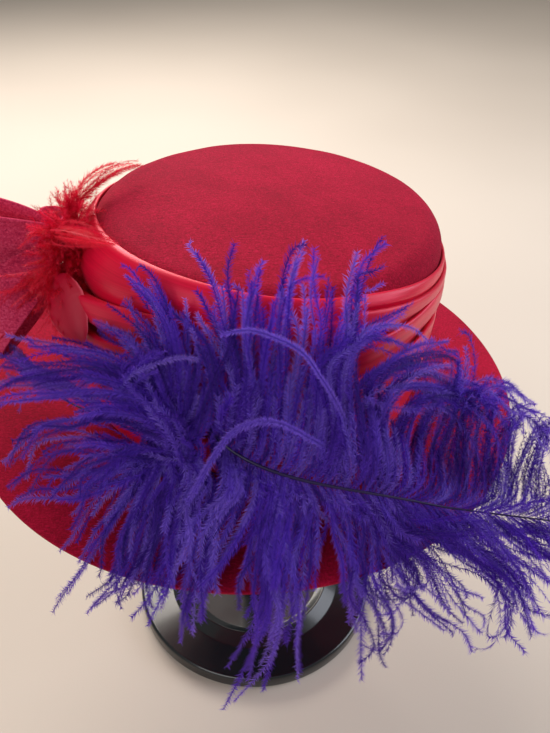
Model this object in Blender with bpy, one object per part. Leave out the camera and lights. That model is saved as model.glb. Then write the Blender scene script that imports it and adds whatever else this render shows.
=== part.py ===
# A wide-brimmed felt dress hat with a low flat crown, a draped satin band, a felt bow, red feathers
# and two ostrich plumes, resting on a plain round hat stand. Metres, with +Z up. The origin is the
# middle of the stand's underside. The plumes are at the front, towards -Y, and the bow is at -X.
import math

import bmesh
import bpy
from mathutils import Euler, Quaternion, Vector

# Shared sizes
GAP = 0.0003                  # clearance between pieces that touch
FELT = 0.0020                 # wall of the crown and brim
AROUND = 48                   # facets round the crown, band and brim

# Crown and brim, measured outside. The long axis of the head oval is turned from +X.
OVAL_TURN = 50.0              # degrees
CROWN_LONG = 0.0945           # half length
CROWN_SHORT = 0.0855          # half width
CROWN_HEIGHT = 0.1120         # brim plane to the flat part of the tip
TIP_EDGE = 0.0100             # radius of the edge round the tip
TIP_TURNS = (30.0, 60.0, 90.0)  # degrees round that edge, a ring at each
TIP_DOME = 0.0040             # rise of the tip's middle above its edge
TIP_RINGS = (0.70, 0.38)      # rings on the dome, as shares of its half length and half width
BRIM_LONG = 0.1687
BRIM_SHORT = 0.1520
BRIM_RISE = 0.0050            # how far the brim climbs towards the crown
BRIM_RINGS = (1.0, 0.78, 0.52, 0.26, 0.0)  # shares of the way out from the crown

# How the hat sits on the stand
BRIM_LEVEL = 0.2125           # height of the brim plane
HAT_LEAN_SIDE = 5.56          # degrees, lower at +X
HAT_LEAN_FRONT = -1.20        # degrees, higher at the back

# Satin band
SATIN = 0.0015                # doubled satin
BAND_OVER = 40.0              # degrees that the band's top goes over the edge round the tip
FOLD_DEPTH = 0.0056           # deepest fold
BAND_ROWS = (0.0, 0.07, 0.14, 0.21, 0.28, 0.36, 0.44, 0.52, 0.60, 0.68, 0.76, 0.84, 0.90, 0.95, 1.0)
# One row a fold. Ridge and half width are shares of the way up the band, depth is a share of
# FOLD_DEPTH, and the ridge climbs by the swing towards the named angle.
FOLDS = (
    {"ridge": 0.85, "swing": 0.07, "toward": -20.0, "half_width": 0.085, "depth": 0.85},
    {"ridge": 0.66, "swing": 0.10, "toward": -5.0, "half_width": 0.11, "depth": 0.95},
    {"ridge": 0.44, "swing": 0.10, "toward": -30.0, "half_width": 0.12, "depth": 1.00},
    {"ridge": 0.22, "swing": 0.06, "toward": 160.0, "half_width": 0.11, "depth": 0.95},
    {"ridge": 0.07, "swing": 0.00, "toward": 0.0, "half_width": 0.09, "depth": 0.70},
)

# Felt bow at the left side
BOW_FELT = 0.0018
BOW_ANGLE = -172.0            # place round the crown
BOW_LEVEL_SHARE = 0.74        # height of the bow as a share of the crown's
KNOT_DEPTH = 0.0080           # half depth, away from the crown
KNOT_WIDTH = 0.0090           # half width, round the crown
KNOT_HEIGHT = 0.0140          # half height
KNOT_SIDES = 14
KNOT_RINGS = 9
SEAT_STEPS = 25               # moves in which a piece is brought up to the knot
SEAT_SAMPLES = 14             # levels at which the knot is held off the band
LOOP_LENGTH = 0.070
LOOP_DEPTH = 0.032            # how far apart a loop's two sides stand
LOOP_WIDTH = 0.038            # of the strip that the loop is folded from
LOOP_STEPS = 14
LOOP_OPEN = 24.0              # degrees left open in a loop where it meets the knot
LOOP_PINCH = 0.30             # width at the knot as a share of the full width
LOOP_NECK = 0.45              # depth at the knot as a share of the full depth
# Heading and climb point from the knot to the loop's far end, and roll turns the strip's width.
# Length, depth and width are shares of the three sizes above.
BOW_LOOPS = (
    {"name": "bow_loop_upper", "heading": 176.0, "climb": -3.0, "roll": 0.0,
     "length": 1.00, "depth": 0.75, "width": 1.00},
    {"name": "bow_loop_lower", "heading": 214.0, "climb": -54.0, "roll": -45.0,
     "length": 0.80, "depth": 1.00, "width": 0.95},
    {"name": "bow_loop_back", "heading": 122.0, "climb": -12.0, "roll": 0.0,
     "length": 0.69, "depth": 0.50, "width": 0.79},
)

# Red feathers
TUFT_HEAD = 0.0070            # radius of the bound end of the hackles
TUFT_OUT = 24.2               # degrees that the tuft turns away from the crown
TUFT_CLIMB = 34.4             # degrees that it points up
HACKLE_LENGTH = 0.030
HACKLE_SHORT = 0.75           # length of every second hackle as a share
HACKLE_SHAPE = (0.85, 0.55, 0.15)  # width at the end of each section as a share of the root's
HACKLE_SAG = 0.25             # droop at a hackle's tip as a share of its length
HACKLE_FAN = 69.5             # widest angle between a hackle and the tuft, in degrees
HACKLE_CLEAR = 38.7           # least angle between a hackle and a blade, in degrees
BLADE = 0.0014                # thickness of a coque or petal feather
BLADE_WIDTH = 0.019
BLADE_TILT = 31.0             # degrees that a blade's face looks up
BLADE_SHAPE = (0.41, 0.66, 0.84, 0.96, 1.00, 0.97, 0.87, 0.70, 0.47, 0.25)  # width, root to tip
# Each blade starts at the tuft. Via and tip are (angle, reach, height) as in hat_point, and width
# is a share of BLADE_WIDTH.
BLADES = (
    {"name": "long_coque_feather", "width": 0.79, "via": (-175.0, 0.12, 1.12), "tip": (165.0, -0.33, 0.99)},
    {"name": "pointed_feather", "width": 0.58, "via": (-150.0, 0.22, 1.00), "tip": (-137.0, 0.10, 1.03)},
    {"name": "petal_feather", "width": 1.00, "via": (-153.0, 0.28, 0.66), "tip": (-141.0, 0.16, 0.50)},
)

# Ostrich plumes, each a shaft with locks of barbs along both sides
PLUME_WALL = 0.0018           # thickness of a lock
SHAFT_WIDTH = 0.0040
SHAFT_TAPER = 0.5             # width at the shaft's end as a share
LOCK_SECTIONS = 6
LOCK_ROOT = 0.78              # lock's width at the shaft as a share of its pitch
LOCK_TIP = 0.30               # width at the tip as a share of its width at the shaft
SHORT_LOCK = 0.86             # length of every second lock as a share of its neighbours
SHAFT_STEP = 0.01             # share of a route over which its direction is taken
# Routes and locks are in (angle, reach, height) as in hat_point. "at" is the place along the shaft,
# angle, reach and height are the lock's end, and swing, out and up push its middle from a straight
# line round the crown, away from it and upwards.
PLUMES = (
    {"name": "ostrich_plume_right", "locks": 15, "quill": 0.13, "facing_up": 0.45,
     "route": ((-106.0, 0.015, 0.40), (-86.8, 0.83, 0.353), (-58.8, 0.09, 0.20), (-39.5, 1.95, 0.235)),
     "upper": (
         {"at": 0.13, "angle": -116.0, "reach": 0.06, "height": 1.02, "swing": 10.0, "out": 0.03, "up": 0.08},
         {"at": 0.22, "angle": -98.0, "reach": 0.06, "height": 1.14, "swing": 0.0, "out": -0.12, "up": 0.00},
         {"at": 0.33, "angle": -84.0, "reach": 0.06, "height": 1.15, "swing": -2.0, "out": -0.20, "up": 0.00},
         {"at": 0.45, "angle": -71.0, "reach": 0.06, "height": 1.20, "swing": 3.0, "out": -0.27, "up": -0.04},
         {"at": 0.53, "angle": -50.0, "reach": 0.18, "height": 0.86, "swing": -22.0, "out": -0.28, "up": 0.30},
         {"at": 0.62, "angle": -36.0, "reach": 0.90, "height": 0.34, "swing": -10.0, "out": -0.80, "up": 0.60},
         {"at": 0.72, "angle": -38.0, "reach": 0.80, "height": 0.40, "swing": 6.0, "out": -0.60, "up": 0.22},
         {"at": 0.82, "angle": -34.0, "reach": 1.28, "height": 0.40, "swing": 8.0, "out": -0.70, "up": 0.24},
         {"at": 1.00, "angle": -33.0, "reach": 1.95, "height": 0.33, "swing": 6.0, "out": -0.40, "up": 0.22}),
     "lower": (
         {"at": 0.13, "angle": -97.0, "reach": 1.12, "height": -0.06, "swing": 0.0, "out": 0.24, "up": 0.14},
         {"at": 0.25, "angle": -95.0, "reach": 1.14, "height": -0.22, "swing": -2.0, "out": 0.34, "up": 0.14},
         {"at": 0.34, "angle": -90.0, "reach": 1.16, "height": -0.50, "swing": 0.0, "out": 0.50, "up": 0.16},
         {"at": 0.48, "angle": -72.0, "reach": 1.20, "height": -0.58, "swing": -2.0, "out": 0.42, "up": 0.14},
         {"at": 0.57, "angle": -63.0, "reach": 1.35, "height": -0.30, "swing": 4.0, "out": 0.16, "up": 0.04},
         {"at": 0.64, "angle": -50.0, "reach": 1.66, "height": -0.06, "swing": 0.0, "out": 0.00, "up": 0.00},
         {"at": 0.75, "angle": -50.0, "reach": 1.98, "height": -0.12, "swing": 3.0, "out": 0.08, "up": 0.02},
         {"at": 1.00, "angle": -41.0, "reach": 2.22, "height": 0.08, "swing": 0.0, "out": 0.04, "up": 0.04})},
    {"name": "ostrich_plume_left", "locks": 12, "quill": 0.10, "facing_up": 0.70,
     "route": ((-117.0, 0.0, 0.385), (-116.0, 0.25, 0.33), (-128.0, 0.34, 0.32), (-150.0, 0.46, 0.28)),
     "upper": (
         {"at": 0.10, "angle": -124.0, "reach": 0.10, "height": 0.84, "swing": 12.0, "out": 0.20, "up": 0.10},
         {"at": 0.30, "angle": -136.0, "reach": 0.20, "height": 0.66, "swing": 14.0, "out": 0.10, "up": 0.18},
         {"at": 0.52, "angle": -146.0, "reach": 0.66, "height": 0.50, "swing": 10.0, "out": -0.10, "up": 0.22},
         {"at": 0.76, "angle": -158.0, "reach": 0.72, "height": 0.28, "swing": 2.0, "out": 0.00, "up": 0.20},
         {"at": 1.00, "angle": -168.0, "reach": 0.76, "height": 0.18, "swing": 0.0, "out": 0.00, "up": 0.14}),
     "lower": (
         {"at": 0.10, "angle": -103.0, "reach": 1.12, "height": -0.14, "swing": 10.0, "out": 0.34, "up": 0.24},
         {"at": 0.35, "angle": -113.0, "reach": 1.12, "height": -0.20, "swing": 8.0, "out": 0.40, "up": 0.22},
         {"at": 0.58, "angle": -124.0, "reach": 1.06, "height": 0.03, "swing": 6.0, "out": 0.14, "up": 0.20},
         {"at": 0.80, "angle": -135.0, "reach": 0.98, "height": 0.14, "swing": 4.0, "out": 0.04, "up": 0.20},
         {"at": 1.00, "angle": -150.0, "reach": 0.88, "height": 0.20, "swing": 0.0, "out": 0.00, "up": 0.14})},
)

# Stand
STAND_SIDES = 40
BASE_RADIUS = 0.0875
BASE_HEIGHT = 0.0113
BASE_EDGE = 0.0025            # rounding of the base's rim
COLLAR_OUTER = 0.0631         # foot of the raised collar on the base
COLLAR_INNER = 0.0546         # crest of the collar
COLLAR_HEIGHT = 0.0054        # crest above the base
COLLAR_ROLL = 0.0016          # rounding of the crest's outer side
DISH_DEPTH = 0.0030           # how far the middle lies below the crest
DISH_SLOPE = 0.0050           # width of the slope down from the crest
POST_RADIUS = 0.0090
SOCKET_WALL = 0.0050
SOCKET_HEIGHT = 0.0120
SOCKET_DEPTH = 0.0100
REST_RADIUS = 0.0400          # the cap that carries the crown's tip
REST_CURVE = 0.0800           # radius of its domed top
REST_RIM = 0.0040


def finish(name, colour, roughness, metallic=0.0):
    material = bpy.data.materials.new(name)
    material.use_nodes = True
    shader = material.node_tree.nodes["Principled BSDF"]
    shader.inputs["Base Color"].default_value = (*colour, 1.0)
    shader.inputs["Roughness"].default_value = roughness
    shader.inputs["Metallic"].default_value = metallic
    material.diffuse_color = (*colour, 1.0)
    return material


def add_piece(name, shape, material, parent=None, sharp=40.0):
    mesh = bpy.data.meshes.new(name)
    shape.to_mesh(mesh)
    shape.free()
    mesh.materials.append(material)
    mesh.shade_smooth()
    mesh.set_sharp_from_angle(angle=math.radians(sharp))
    piece = bpy.data.objects.new(name, mesh)
    bpy.context.scene.collection.objects.link(piece)
    piece.parent = parent
    return piece


def thicken(piece, wall):
    solid = piece.modifiers.new("wall", "SOLIDIFY")
    solid.thickness = wall
    solid.offset = -1.0
    solid.use_even_offset = True
    solid.use_rim = True


def turned_oval(along, across, height):
    turn = math.radians(OVAL_TURN)
    x = along * math.cos(turn) - across * math.sin(turn)
    y = along * math.sin(turn) + across * math.cos(turn)
    return Vector((x, y, height))


def oval_normal(angle, half_long, half_short):
    around = math.radians(angle - OVAL_TURN)
    return turned_oval(math.cos(around) / half_long, math.sin(around) / half_short, 0.0).normalized()


def oval_point(angle, half_long, half_short, offset, height):
    around = math.radians(angle - OVAL_TURN)
    spot = turned_oval(half_long * math.cos(around), half_short * math.sin(around), height)
    return spot + oval_normal(angle, half_long, half_short) * offset


def oval_sheet(rows, closed=False):
    # Each row is a ring of points, and a row of one point closes the middle. A closed sheet ends
    # where it began.
    shape = bmesh.new()
    rings = [[shape.verts.new(spot) for spot in row] for row in rows]
    if closed:
        rings.append(rings[0])
    for low, high in zip(rings, rings[1:]):
        count = len(low)
        for i in range(count):
            j = (i + 1) % count
            if len(high) == 1:
                shape.faces.new((low[i], low[j], high[0]))
            else:
                shape.faces.new((low[i], low[j], high[j], high[i]))
    return shape


def ring_angles():
    return [360.0 * i / AROUND for i in range(AROUND)]


def brim_top(share):
    # Height of the brim's upper face, where share 0 is at the crown and 1 at the edge
    inside = min(max(share, 0.0), 1.0)
    return BRIM_RISE * (1.0 - inside ** 2) + FELT


def side_top():
    return CROWN_HEIGHT - TIP_EDGE


def band_bottom():
    return brim_top(0.0) + GAP


def band_side():
    return side_top() - band_bottom()


def band_climb():
    # Way up the crown's side and over the edge round the tip
    return band_side() + TIP_EDGE * math.radians(BAND_OVER)


def fold_depth(angle, share):
    deepest = 0.0
    for fold in FOLDS:
        ridge = fold["ridge"] + fold["swing"] * math.cos(math.radians(angle - fold["toward"]))
        away = abs(share - ridge) / fold["half_width"]
        if away < 1.0:
            deepest = max(deepest, fold["depth"] * (1.0 - away ** 2))
    return deepest * FOLD_DEPTH


def band_surface(angle, height):
    # Distance from the crown's wall to the band's outer face, along the facet between two rows
    share = min(max((height - band_bottom()) / band_climb(), 0.0), 1.0)
    number = next(i for i in range(1, len(BAND_ROWS)) if share <= BAND_ROWS[i])
    low, high = BAND_ROWS[number - 1], BAND_ROWS[number]
    part = (share - low) / (high - low)
    return GAP + fold_depth(angle, low) * (1.0 - part) + fold_depth(angle, high) * part + SATIN


def band_point(angle, share, inset):
    # On the band's outer face, or inside it by the inset
    lift = GAP + fold_depth(angle, share) + SATIN - inset
    climbed = share * band_climb()
    turn = max(climbed - band_side(), 0.0) / TIP_EDGE
    level = band_bottom() + min(climbed, band_side()) + (TIP_EDGE + lift) * math.sin(turn)
    offset = lift * math.cos(turn) - TIP_EDGE * (1.0 - math.cos(turn))
    return oval_point(angle, CROWN_LONG, CROWN_SHORT, offset, level)


def hat_point(angle, reach, height, half_wall=0.0):
    # Reach 0 touches the band and 1 is the brim's edge. Height is a share of the crown's height
    # above the brim's face.
    level = brim_top(reach) + GAP + half_wall + height * CROWN_HEIGHT
    inner = oval_point(angle, CROWN_LONG, CROWN_SHORT, band_surface(angle, level) + GAP + half_wall, level)
    outer = oval_point(angle, BRIM_LONG, BRIM_SHORT, 0.0, level)
    return inner.lerp(outer, reach)


def bezier(points, share):
    level = [Vector(point) for point in points]
    while len(level) > 1:
        level = [first.lerp(second, share) for first, second in zip(level, level[1:])]
    return level[0]


def make_crown(parent, material):
    rows = []
    for level in (BRIM_RISE, BRIM_RISE + (side_top() - BRIM_RISE) / 2, side_top()):
        rows.append([oval_point(angle, CROWN_LONG, CROWN_SHORT, 0.0, level) for angle in ring_angles()])
    for turn in TIP_TURNS:
        inset = TIP_EDGE * (1.0 - math.cos(math.radians(turn)))
        level = side_top() + TIP_EDGE * math.sin(math.radians(turn))
        rows.append([oval_point(angle, CROWN_LONG, CROWN_SHORT, -inset, level) for angle in ring_angles()])
    for share in TIP_RINGS:
        level = CROWN_HEIGHT + TIP_DOME * (1.0 - share ** 2)
        long_half = (CROWN_LONG - TIP_EDGE) * share
        short_half = (CROWN_SHORT - TIP_EDGE) * share
        rows.append([oval_point(angle, long_half, short_half, 0.0, level) for angle in ring_angles()])
    rows.append([Vector((0.0, 0.0, CROWN_HEIGHT + TIP_DOME))])
    crown = add_piece("crown", oval_sheet(rows), material, parent)
    thicken(crown, FELT)


def make_brim(parent, material):
    rows = []
    for share in BRIM_RINGS:
        row = []
        for angle in ring_angles():
            inner = oval_point(angle, CROWN_LONG, CROWN_SHORT, GAP, brim_top(share))
            outer = oval_point(angle, BRIM_LONG, BRIM_SHORT, 0.0, brim_top(share))
            row.append(inner.lerp(outer, share))
        rows.append(row)
    brim = add_piece("brim", oval_sheet(rows), material, parent)
    thicken(brim, FELT)


def make_band(parent, material):
    # Up the outer face and down the inner one
    rows = []
    climb = [(share, 0.0) for share in BAND_ROWS]
    descent = [(share, SATIN) for share in reversed(BAND_ROWS)]
    for share, inset in climb + descent:
        rows.append([band_point(angle, share, inset) for angle in ring_angles()])
    add_piece("satin_band", oval_sheet(rows, closed=True), material, parent)


def knot_centre():
    # As near to the crown as the band's folds let the knot lie
    level = brim_top(0.0) + BOW_LEVEL_SHARE * CROWN_HEIGHT
    offset = 0.0
    for step in range(1, SEAT_SAMPLES):
        turn = math.pi * step / SEAT_SAMPLES
        beside = band_surface(BOW_ANGLE, level + KNOT_HEIGHT * math.cos(turn))
        offset = max(offset, beside + GAP + KNOT_DEPTH * math.sin(turn))
    return oval_point(BOW_ANGLE, CROWN_LONG, CROWN_SHORT, offset, level)


def knot_axes():
    # Away from the crown, round the crown and up
    away = oval_normal(BOW_ANGLE, CROWN_LONG, CROWN_SHORT)
    up = Vector((0.0, 0.0, 1.0))
    return away, up.cross(away), up


def knot_clearance(offset):
    # At most the distance to the knot's surface from a point given from the knot's centre, and
    # below zero inside
    away, across, up = knot_axes()
    parts = (offset.dot(away) / KNOT_DEPTH, offset.dot(across) / KNOT_WIDTH, offset.dot(up) / KNOT_HEIGHT)
    return (math.sqrt(sum(part ** 2 for part in parts)) - 1.0) * min(KNOT_DEPTH, KNOT_WIDTH, KNOT_HEIGHT)


def seat_on_knot(spots, direction):
    # How far the points, given from the knot's centre, are carried to clear the knot by the gap
    travel = 2 * max(KNOT_DEPTH, KNOT_WIDTH, KNOT_HEIGHT)
    for _ in range(SEAT_STEPS):
        nearest = min(knot_clearance(spot + direction * travel) for spot in spots)
        travel -= nearest - GAP
    return travel


def make_knot(parent, material):
    shape = bmesh.new()
    bmesh.ops.create_uvsphere(shape, u_segments=KNOT_SIDES, v_segments=KNOT_RINGS, radius=1.0)
    away, across, up = knot_axes()
    centre = knot_centre()
    for vert in shape.verts:
        spot = vert.co.copy()
        vert.co = centre + away * spot.x * KNOT_DEPTH + across * spot.y * KNOT_WIDTH + up * spot.z * KNOT_HEIGHT
    add_piece("bow_knot", shape, material, parent, sharp=60.0)


def ribbon(shape, sections):
    # Each section is four corners, and both ends are closed.
    rings = [[shape.verts.new(corner) for corner in section] for section in sections]
    for low, high in zip(rings, rings[1:]):
        for i in range(4):
            j = (i + 1) % 4
            shape.faces.new((low[i], low[j], high[j], high[i]))
    shape.faces.new(rings[0][::-1])
    shape.faces.new(rings[-1])
    bmesh.ops.recalc_face_normals(shape, faces=shape.faces[:])


def panel_points(sections):
    # Points spread over all four sides of the ribbon between the sections
    shares = (0.0, 0.25, 0.5, 0.75, 1.0)
    spots = []
    for low, high in zip(sections, sections[1:]):
        for along in shares:
            ring = [first.lerp(second, along) for first, second in zip(low, high)]
            spots += [ring[i].lerp(ring[(i + 1) % 4], across) for i in range(4) for across in shares]
    return spots


def make_loop(loop, parent, material):
    heading = math.radians(loop["heading"])
    climb = math.radians(loop["climb"])
    roll = math.radians(loop["roll"])
    ahead = Vector((math.cos(heading) * math.cos(climb), math.sin(heading) * math.cos(climb), math.sin(climb)))
    level = Vector((-math.sin(heading), math.cos(heading), 0.0))
    upright = ahead.cross(level)
    wide = upright * math.cos(roll) + level * math.sin(roll)
    thick = level * math.cos(roll) - upright * math.sin(roll)
    half_length = loop["length"] * LOOP_LENGTH / 2
    half_depth = loop["depth"] * LOOP_DEPTH / 2
    half_width = loop["width"] * LOOP_WIDTH / 2
    start = half_length * (1.0 - math.cos(math.radians(LOOP_OPEN)))
    sections = []
    for i in range(LOOP_STEPS + 1):
        turn = math.radians(LOOP_OPEN + (360.0 - 2 * LOOP_OPEN) * i / LOOP_STEPS)
        opened = math.sin(turn / 2)  # 0 at the knot and 1 at the far end
        along = half_length * (1.0 - math.cos(turn))
        aside = half_depth * math.sin(turn) * (LOOP_NECK + (1.0 - LOOP_NECK) * opened)
        outward = (ahead * -half_depth * math.cos(turn) + thick * half_length * math.sin(turn)).normalized()
        if outward.dot(ahead * (along - half_length) + thick * aside) < 0.0:
            outward.negate()
        width = half_width * (LOOP_PINCH + (1.0 - LOOP_PINCH) * opened)
        inner = ahead * (along - start) + thick * aside
        outer = inner + outward * BOW_FELT
        sections.append((inner - wide * width, inner + wide * width, outer + wide * width, outer - wide * width))
    near = panel_points(sections[:3]) + panel_points(sections[-3:])
    travel = knot_centre() + ahead * seat_on_knot(near, ahead)
    shape = bmesh.new()
    ribbon(shape, [[corner + travel for corner in section] for section in sections])
    add_piece(loop["name"], shape, material, parent)


def tuft_direction():
    # From the knot, mostly towards the plumes and partly away from the crown and up
    away, across, up = knot_axes()
    out = math.radians(TUFT_OUT)
    climb = math.radians(TUFT_CLIMB)
    return (across * math.cos(out) + away * math.sin(out)) * math.cos(climb) + up * math.sin(climb)


def tuft_centre():
    # The head's near side is sampled round the direction that points back at the knot
    direction = tuft_direction()
    aside = direction.orthogonal().normalized()
    spots = []
    for tilt in (0.0, 20.0, 40.0, 60.0):
        for turn in range(0, 360, 30):
            back = Quaternion(aside, math.radians(tilt)) @ -direction
            spots.append(Quaternion(direction, math.radians(turn)) @ back * TUFT_HEAD)
    return knot_centre() + direction * seat_on_knot(spots, direction)


def blade_start(blade):
    # Direction in which a blade leaves the tuft
    return (hat_point(*blade["via"], BLADE / 2) - tuft_centre()).normalized()


def make_tuft(parent, material):
    shape = bmesh.new()
    bmesh.ops.create_icosphere(shape, subdivisions=2, radius=TUFT_HEAD)
    outward = tuft_direction()
    starts = [blade_start(blade) for blade in BLADES]
    chosen = []
    taken = set()
    for face in sorted(shape.faces, key=lambda face: -face.normal.dot(outward)):
        sides = {edge.index for edge in face.edges}
        crowded = any(math.degrees(face.normal.angle(start)) < HACKLE_CLEAR for start in starts)
        fanned = math.degrees(face.normal.angle(outward))
        if fanned < HACKLE_FAN and not crowded and not sides & taken:
            chosen.append(face)
            taken |= sides
    for number, face in enumerate(chosen):
        direction = face.normal.copy()
        length = HACKLE_LENGTH * (1.0 if number % 2 == 0 else HACKLE_SHORT)
        middle = face.calc_center_median()
        corners = [vert.co - middle for vert in face.verts]
        for step, width in enumerate(HACKLE_SHAPE, 1):
            share = step / len(HACKLE_SHAPE)
            sag = Vector((0.0, 0.0, -HACKLE_SAG * length * share ** 2))
            centre = middle + direction * length * share + sag
            face = bmesh.ops.extrude_discrete_faces(shape, faces=[face])["faces"][0]
            for vert, corner in zip(face.verts, corners):
                vert.co = centre + corner * width
    bmesh.ops.translate(shape, verts=shape.verts[:], vec=tuft_centre())
    add_piece("red_hackle_tuft", shape, material, parent)


def make_blade(blade, parent, material):
    tip = hat_point(*blade["tip"], BLADE / 2)
    via = hat_point(*blade["via"], BLADE / 2)
    root = tuft_centre() + blade_start(blade) * (TUFT_HEAD + GAP)
    last = len(BLADE_SHAPE) - 1
    tilt = math.radians(BLADE_TILT)
    centre_line = [bezier((root, via, tip), i / last) for i in range(last + 1)]
    sections = []
    for i, centre in enumerate(centre_line):
        ahead = (centre_line[min(i + 1, last)] - centre_line[max(i - 1, 0)]).normalized()
        level = Vector((centre.x, centre.y, 0.0)).normalized()
        away = level * math.cos(tilt) + Vector((0.0, 0.0, math.sin(tilt)))
        wide = ahead.cross(away).normalized()
        thick = wide.cross(ahead)
        width = blade["width"] * BLADE_WIDTH / 2 * BLADE_SHAPE[i]
        sections.append((centre - wide * width - thick * BLADE / 2, centre + wide * width - thick * BLADE / 2,
                         centre + wide * width + thick * BLADE / 2, centre - wide * width + thick * BLADE / 2))
    shape = bmesh.new()
    ribbon(shape, sections)
    add_piece(blade["name"], shape, material, parent)


def table_row(table, at):
    # A row read between the two rows of a lock table that lie on either side
    number = next(i for i in range(1, len(table)) if at <= table[i]["at"])
    first, second = table[number - 1], table[number]
    share = (at - first["at"]) / (second["at"] - first["at"])
    return {key: first[key] + (second[key] - first[key]) * share for key in first}


def shaft_frame(plume, share):
    # Centre, direction, face normal and upper side of the shaft
    before = hat_point(*bezier(plume["route"], max(share - SHAFT_STEP, 0.0)), PLUME_WALL / 2)
    after = hat_point(*bezier(plume["route"], min(share + SHAFT_STEP, 1.0)), PLUME_WALL / 2)
    centre = hat_point(*bezier(plume["route"], share), PLUME_WALL / 2)
    ahead = (after - before).normalized()
    away = Vector((centre.x, centre.y, 0.0)).normalized()
    facing = away + Vector((0.0, 0.0, plume["facing_up"]))
    facing = (facing - ahead * facing.dot(ahead)).normalized()
    upper = facing.cross(ahead)
    if upper.z < 0.0:
        upper.negate()
    return centre, ahead, facing, upper


def lock_path(plume, row, at, length):
    root = bezier(plume["route"], at)
    tip = Vector((row["angle"], row["reach"], row["height"]))
    middle = root.lerp(tip, 0.5) + Vector((row["swing"], row["out"], row["up"]))
    return [hat_point(*bezier((root, middle, tip), length * i / LOCK_SECTIONS), PLUME_WALL / 2)
            for i in range(LOCK_SECTIONS + 1)]


def grow_lock(shape, face, path, ahead, facing):
    centre = face.calc_center_median()
    signs = []
    half = max(abs((vert.co - centre).dot(ahead)) for vert in face.verts)
    for vert in face.verts:
        along = 1.0 if (vert.co - centre).dot(ahead) > 0.0 else -1.0
        above = 1.0 if (vert.co - centre).dot(facing) > 0.0 else -1.0
        signs.append((along, above))
    thick = facing.copy()
    for i in range(1, LOCK_SECTIONS + 1):
        share = i / LOCK_SECTIONS
        direction = (path[min(i + 1, LOCK_SECTIONS)] - path[i - 1]).normalized()
        wide = (ahead - direction * ahead.dot(direction)).normalized()
        square = direction.cross(wide).normalized()
        thick = square if square.dot(thick) > 0.0 else -square
        width = half * (1.0 + (LOCK_TIP - 1.0) * share ** 1.5)
        face = bmesh.ops.extrude_discrete_faces(shape, faces=[face])["faces"][0]
        for vert, (along, above) in zip(face.verts, signs):
            vert.co = path[i] + wide * along * width + thick * above * PLUME_WALL / 2


def make_plume(plume, parent, material):
    shape = bmesh.new()
    stops = [0.0, plume["quill"] / 2]
    pitch = (1.0 - plume["quill"]) / plume["locks"]
    for number in range(plume["locks"]):
        middle = plume["quill"] + pitch * (number + 0.5)
        stops += [middle - pitch * LOCK_ROOT / 2, middle + pitch * LOCK_ROOT / 2]
    sections = []
    for stop in stops:
        centre, ahead, facing, upper = shaft_frame(plume, stop)
        if stop == 0.0:
            centre -= ahead * PLUME_WALL / 2  # the quill's cut end meets the band
        half = SHAFT_WIDTH / 2 * (1.0 + (SHAFT_TAPER - 1.0) * stop)
        lift = facing * PLUME_WALL / 2
        sections.append((centre + upper * half - lift, centre + upper * half + lift,
                         centre - upper * half + lift, centre - upper * half - lift))
    ribbon(shape, sections)
    shape.faces.ensure_lookup_table()
    faces = list(shape.faces)
    for number in range(plume["locks"]):
        first = 2 + 2 * number
        at = (stops[first] + stops[first + 1]) / 2
        _, ahead, facing, _ = shaft_frame(plume, at)
        length = 1.0 if number % 2 == 0 else SHORT_LOCK
        for side, table in ((0, "upper"), (2, "lower")):
            path = lock_path(plume, table_row(plume[table], at), at, length)
            grow_lock(shape, faces[4 * first + side], path, ahead, facing)
    bmesh.ops.recalc_face_normals(shape, faces=shape.faces[:])
    add_piece(plume["name"], shape, material, parent)


def make_turned(name, profile, material):
    # A profile from the axis round to the axis, turned about Z
    shape = bmesh.new()
    verts = [shape.verts.new((radius, 0.0, height)) for radius, height in profile]
    edges = [shape.edges.new(pair) for pair in zip(verts, verts[1:])]
    bmesh.ops.spin(shape, geom=verts + edges, cent=(0.0, 0.0, 0.0), axis=(0.0, 0.0, 1.0),
                   angle=math.tau, steps=STAND_SIDES, use_merge=True)
    bmesh.ops.remove_doubles(shape, verts=shape.verts[:], dist=1e-6)
    bmesh.ops.recalc_face_normals(shape, faces=shape.faces[:])
    return add_piece(name, shape, material)


def floor_of_dish():
    return BASE_HEIGHT + COLLAR_HEIGHT - DISH_DEPTH


def rest_curve_centre():
    # The domed cap meets the tilted tip's inner face square to that face
    lean = math.cos(math.radians(HAT_LEAN_SIDE)) * math.cos(math.radians(HAT_LEAN_FRONT))
    tip_inside = CROWN_HEIGHT + TIP_DOME - FELT
    return BRIM_LEVEL + (tip_inside - GAP - REST_CURVE) / lean


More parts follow.
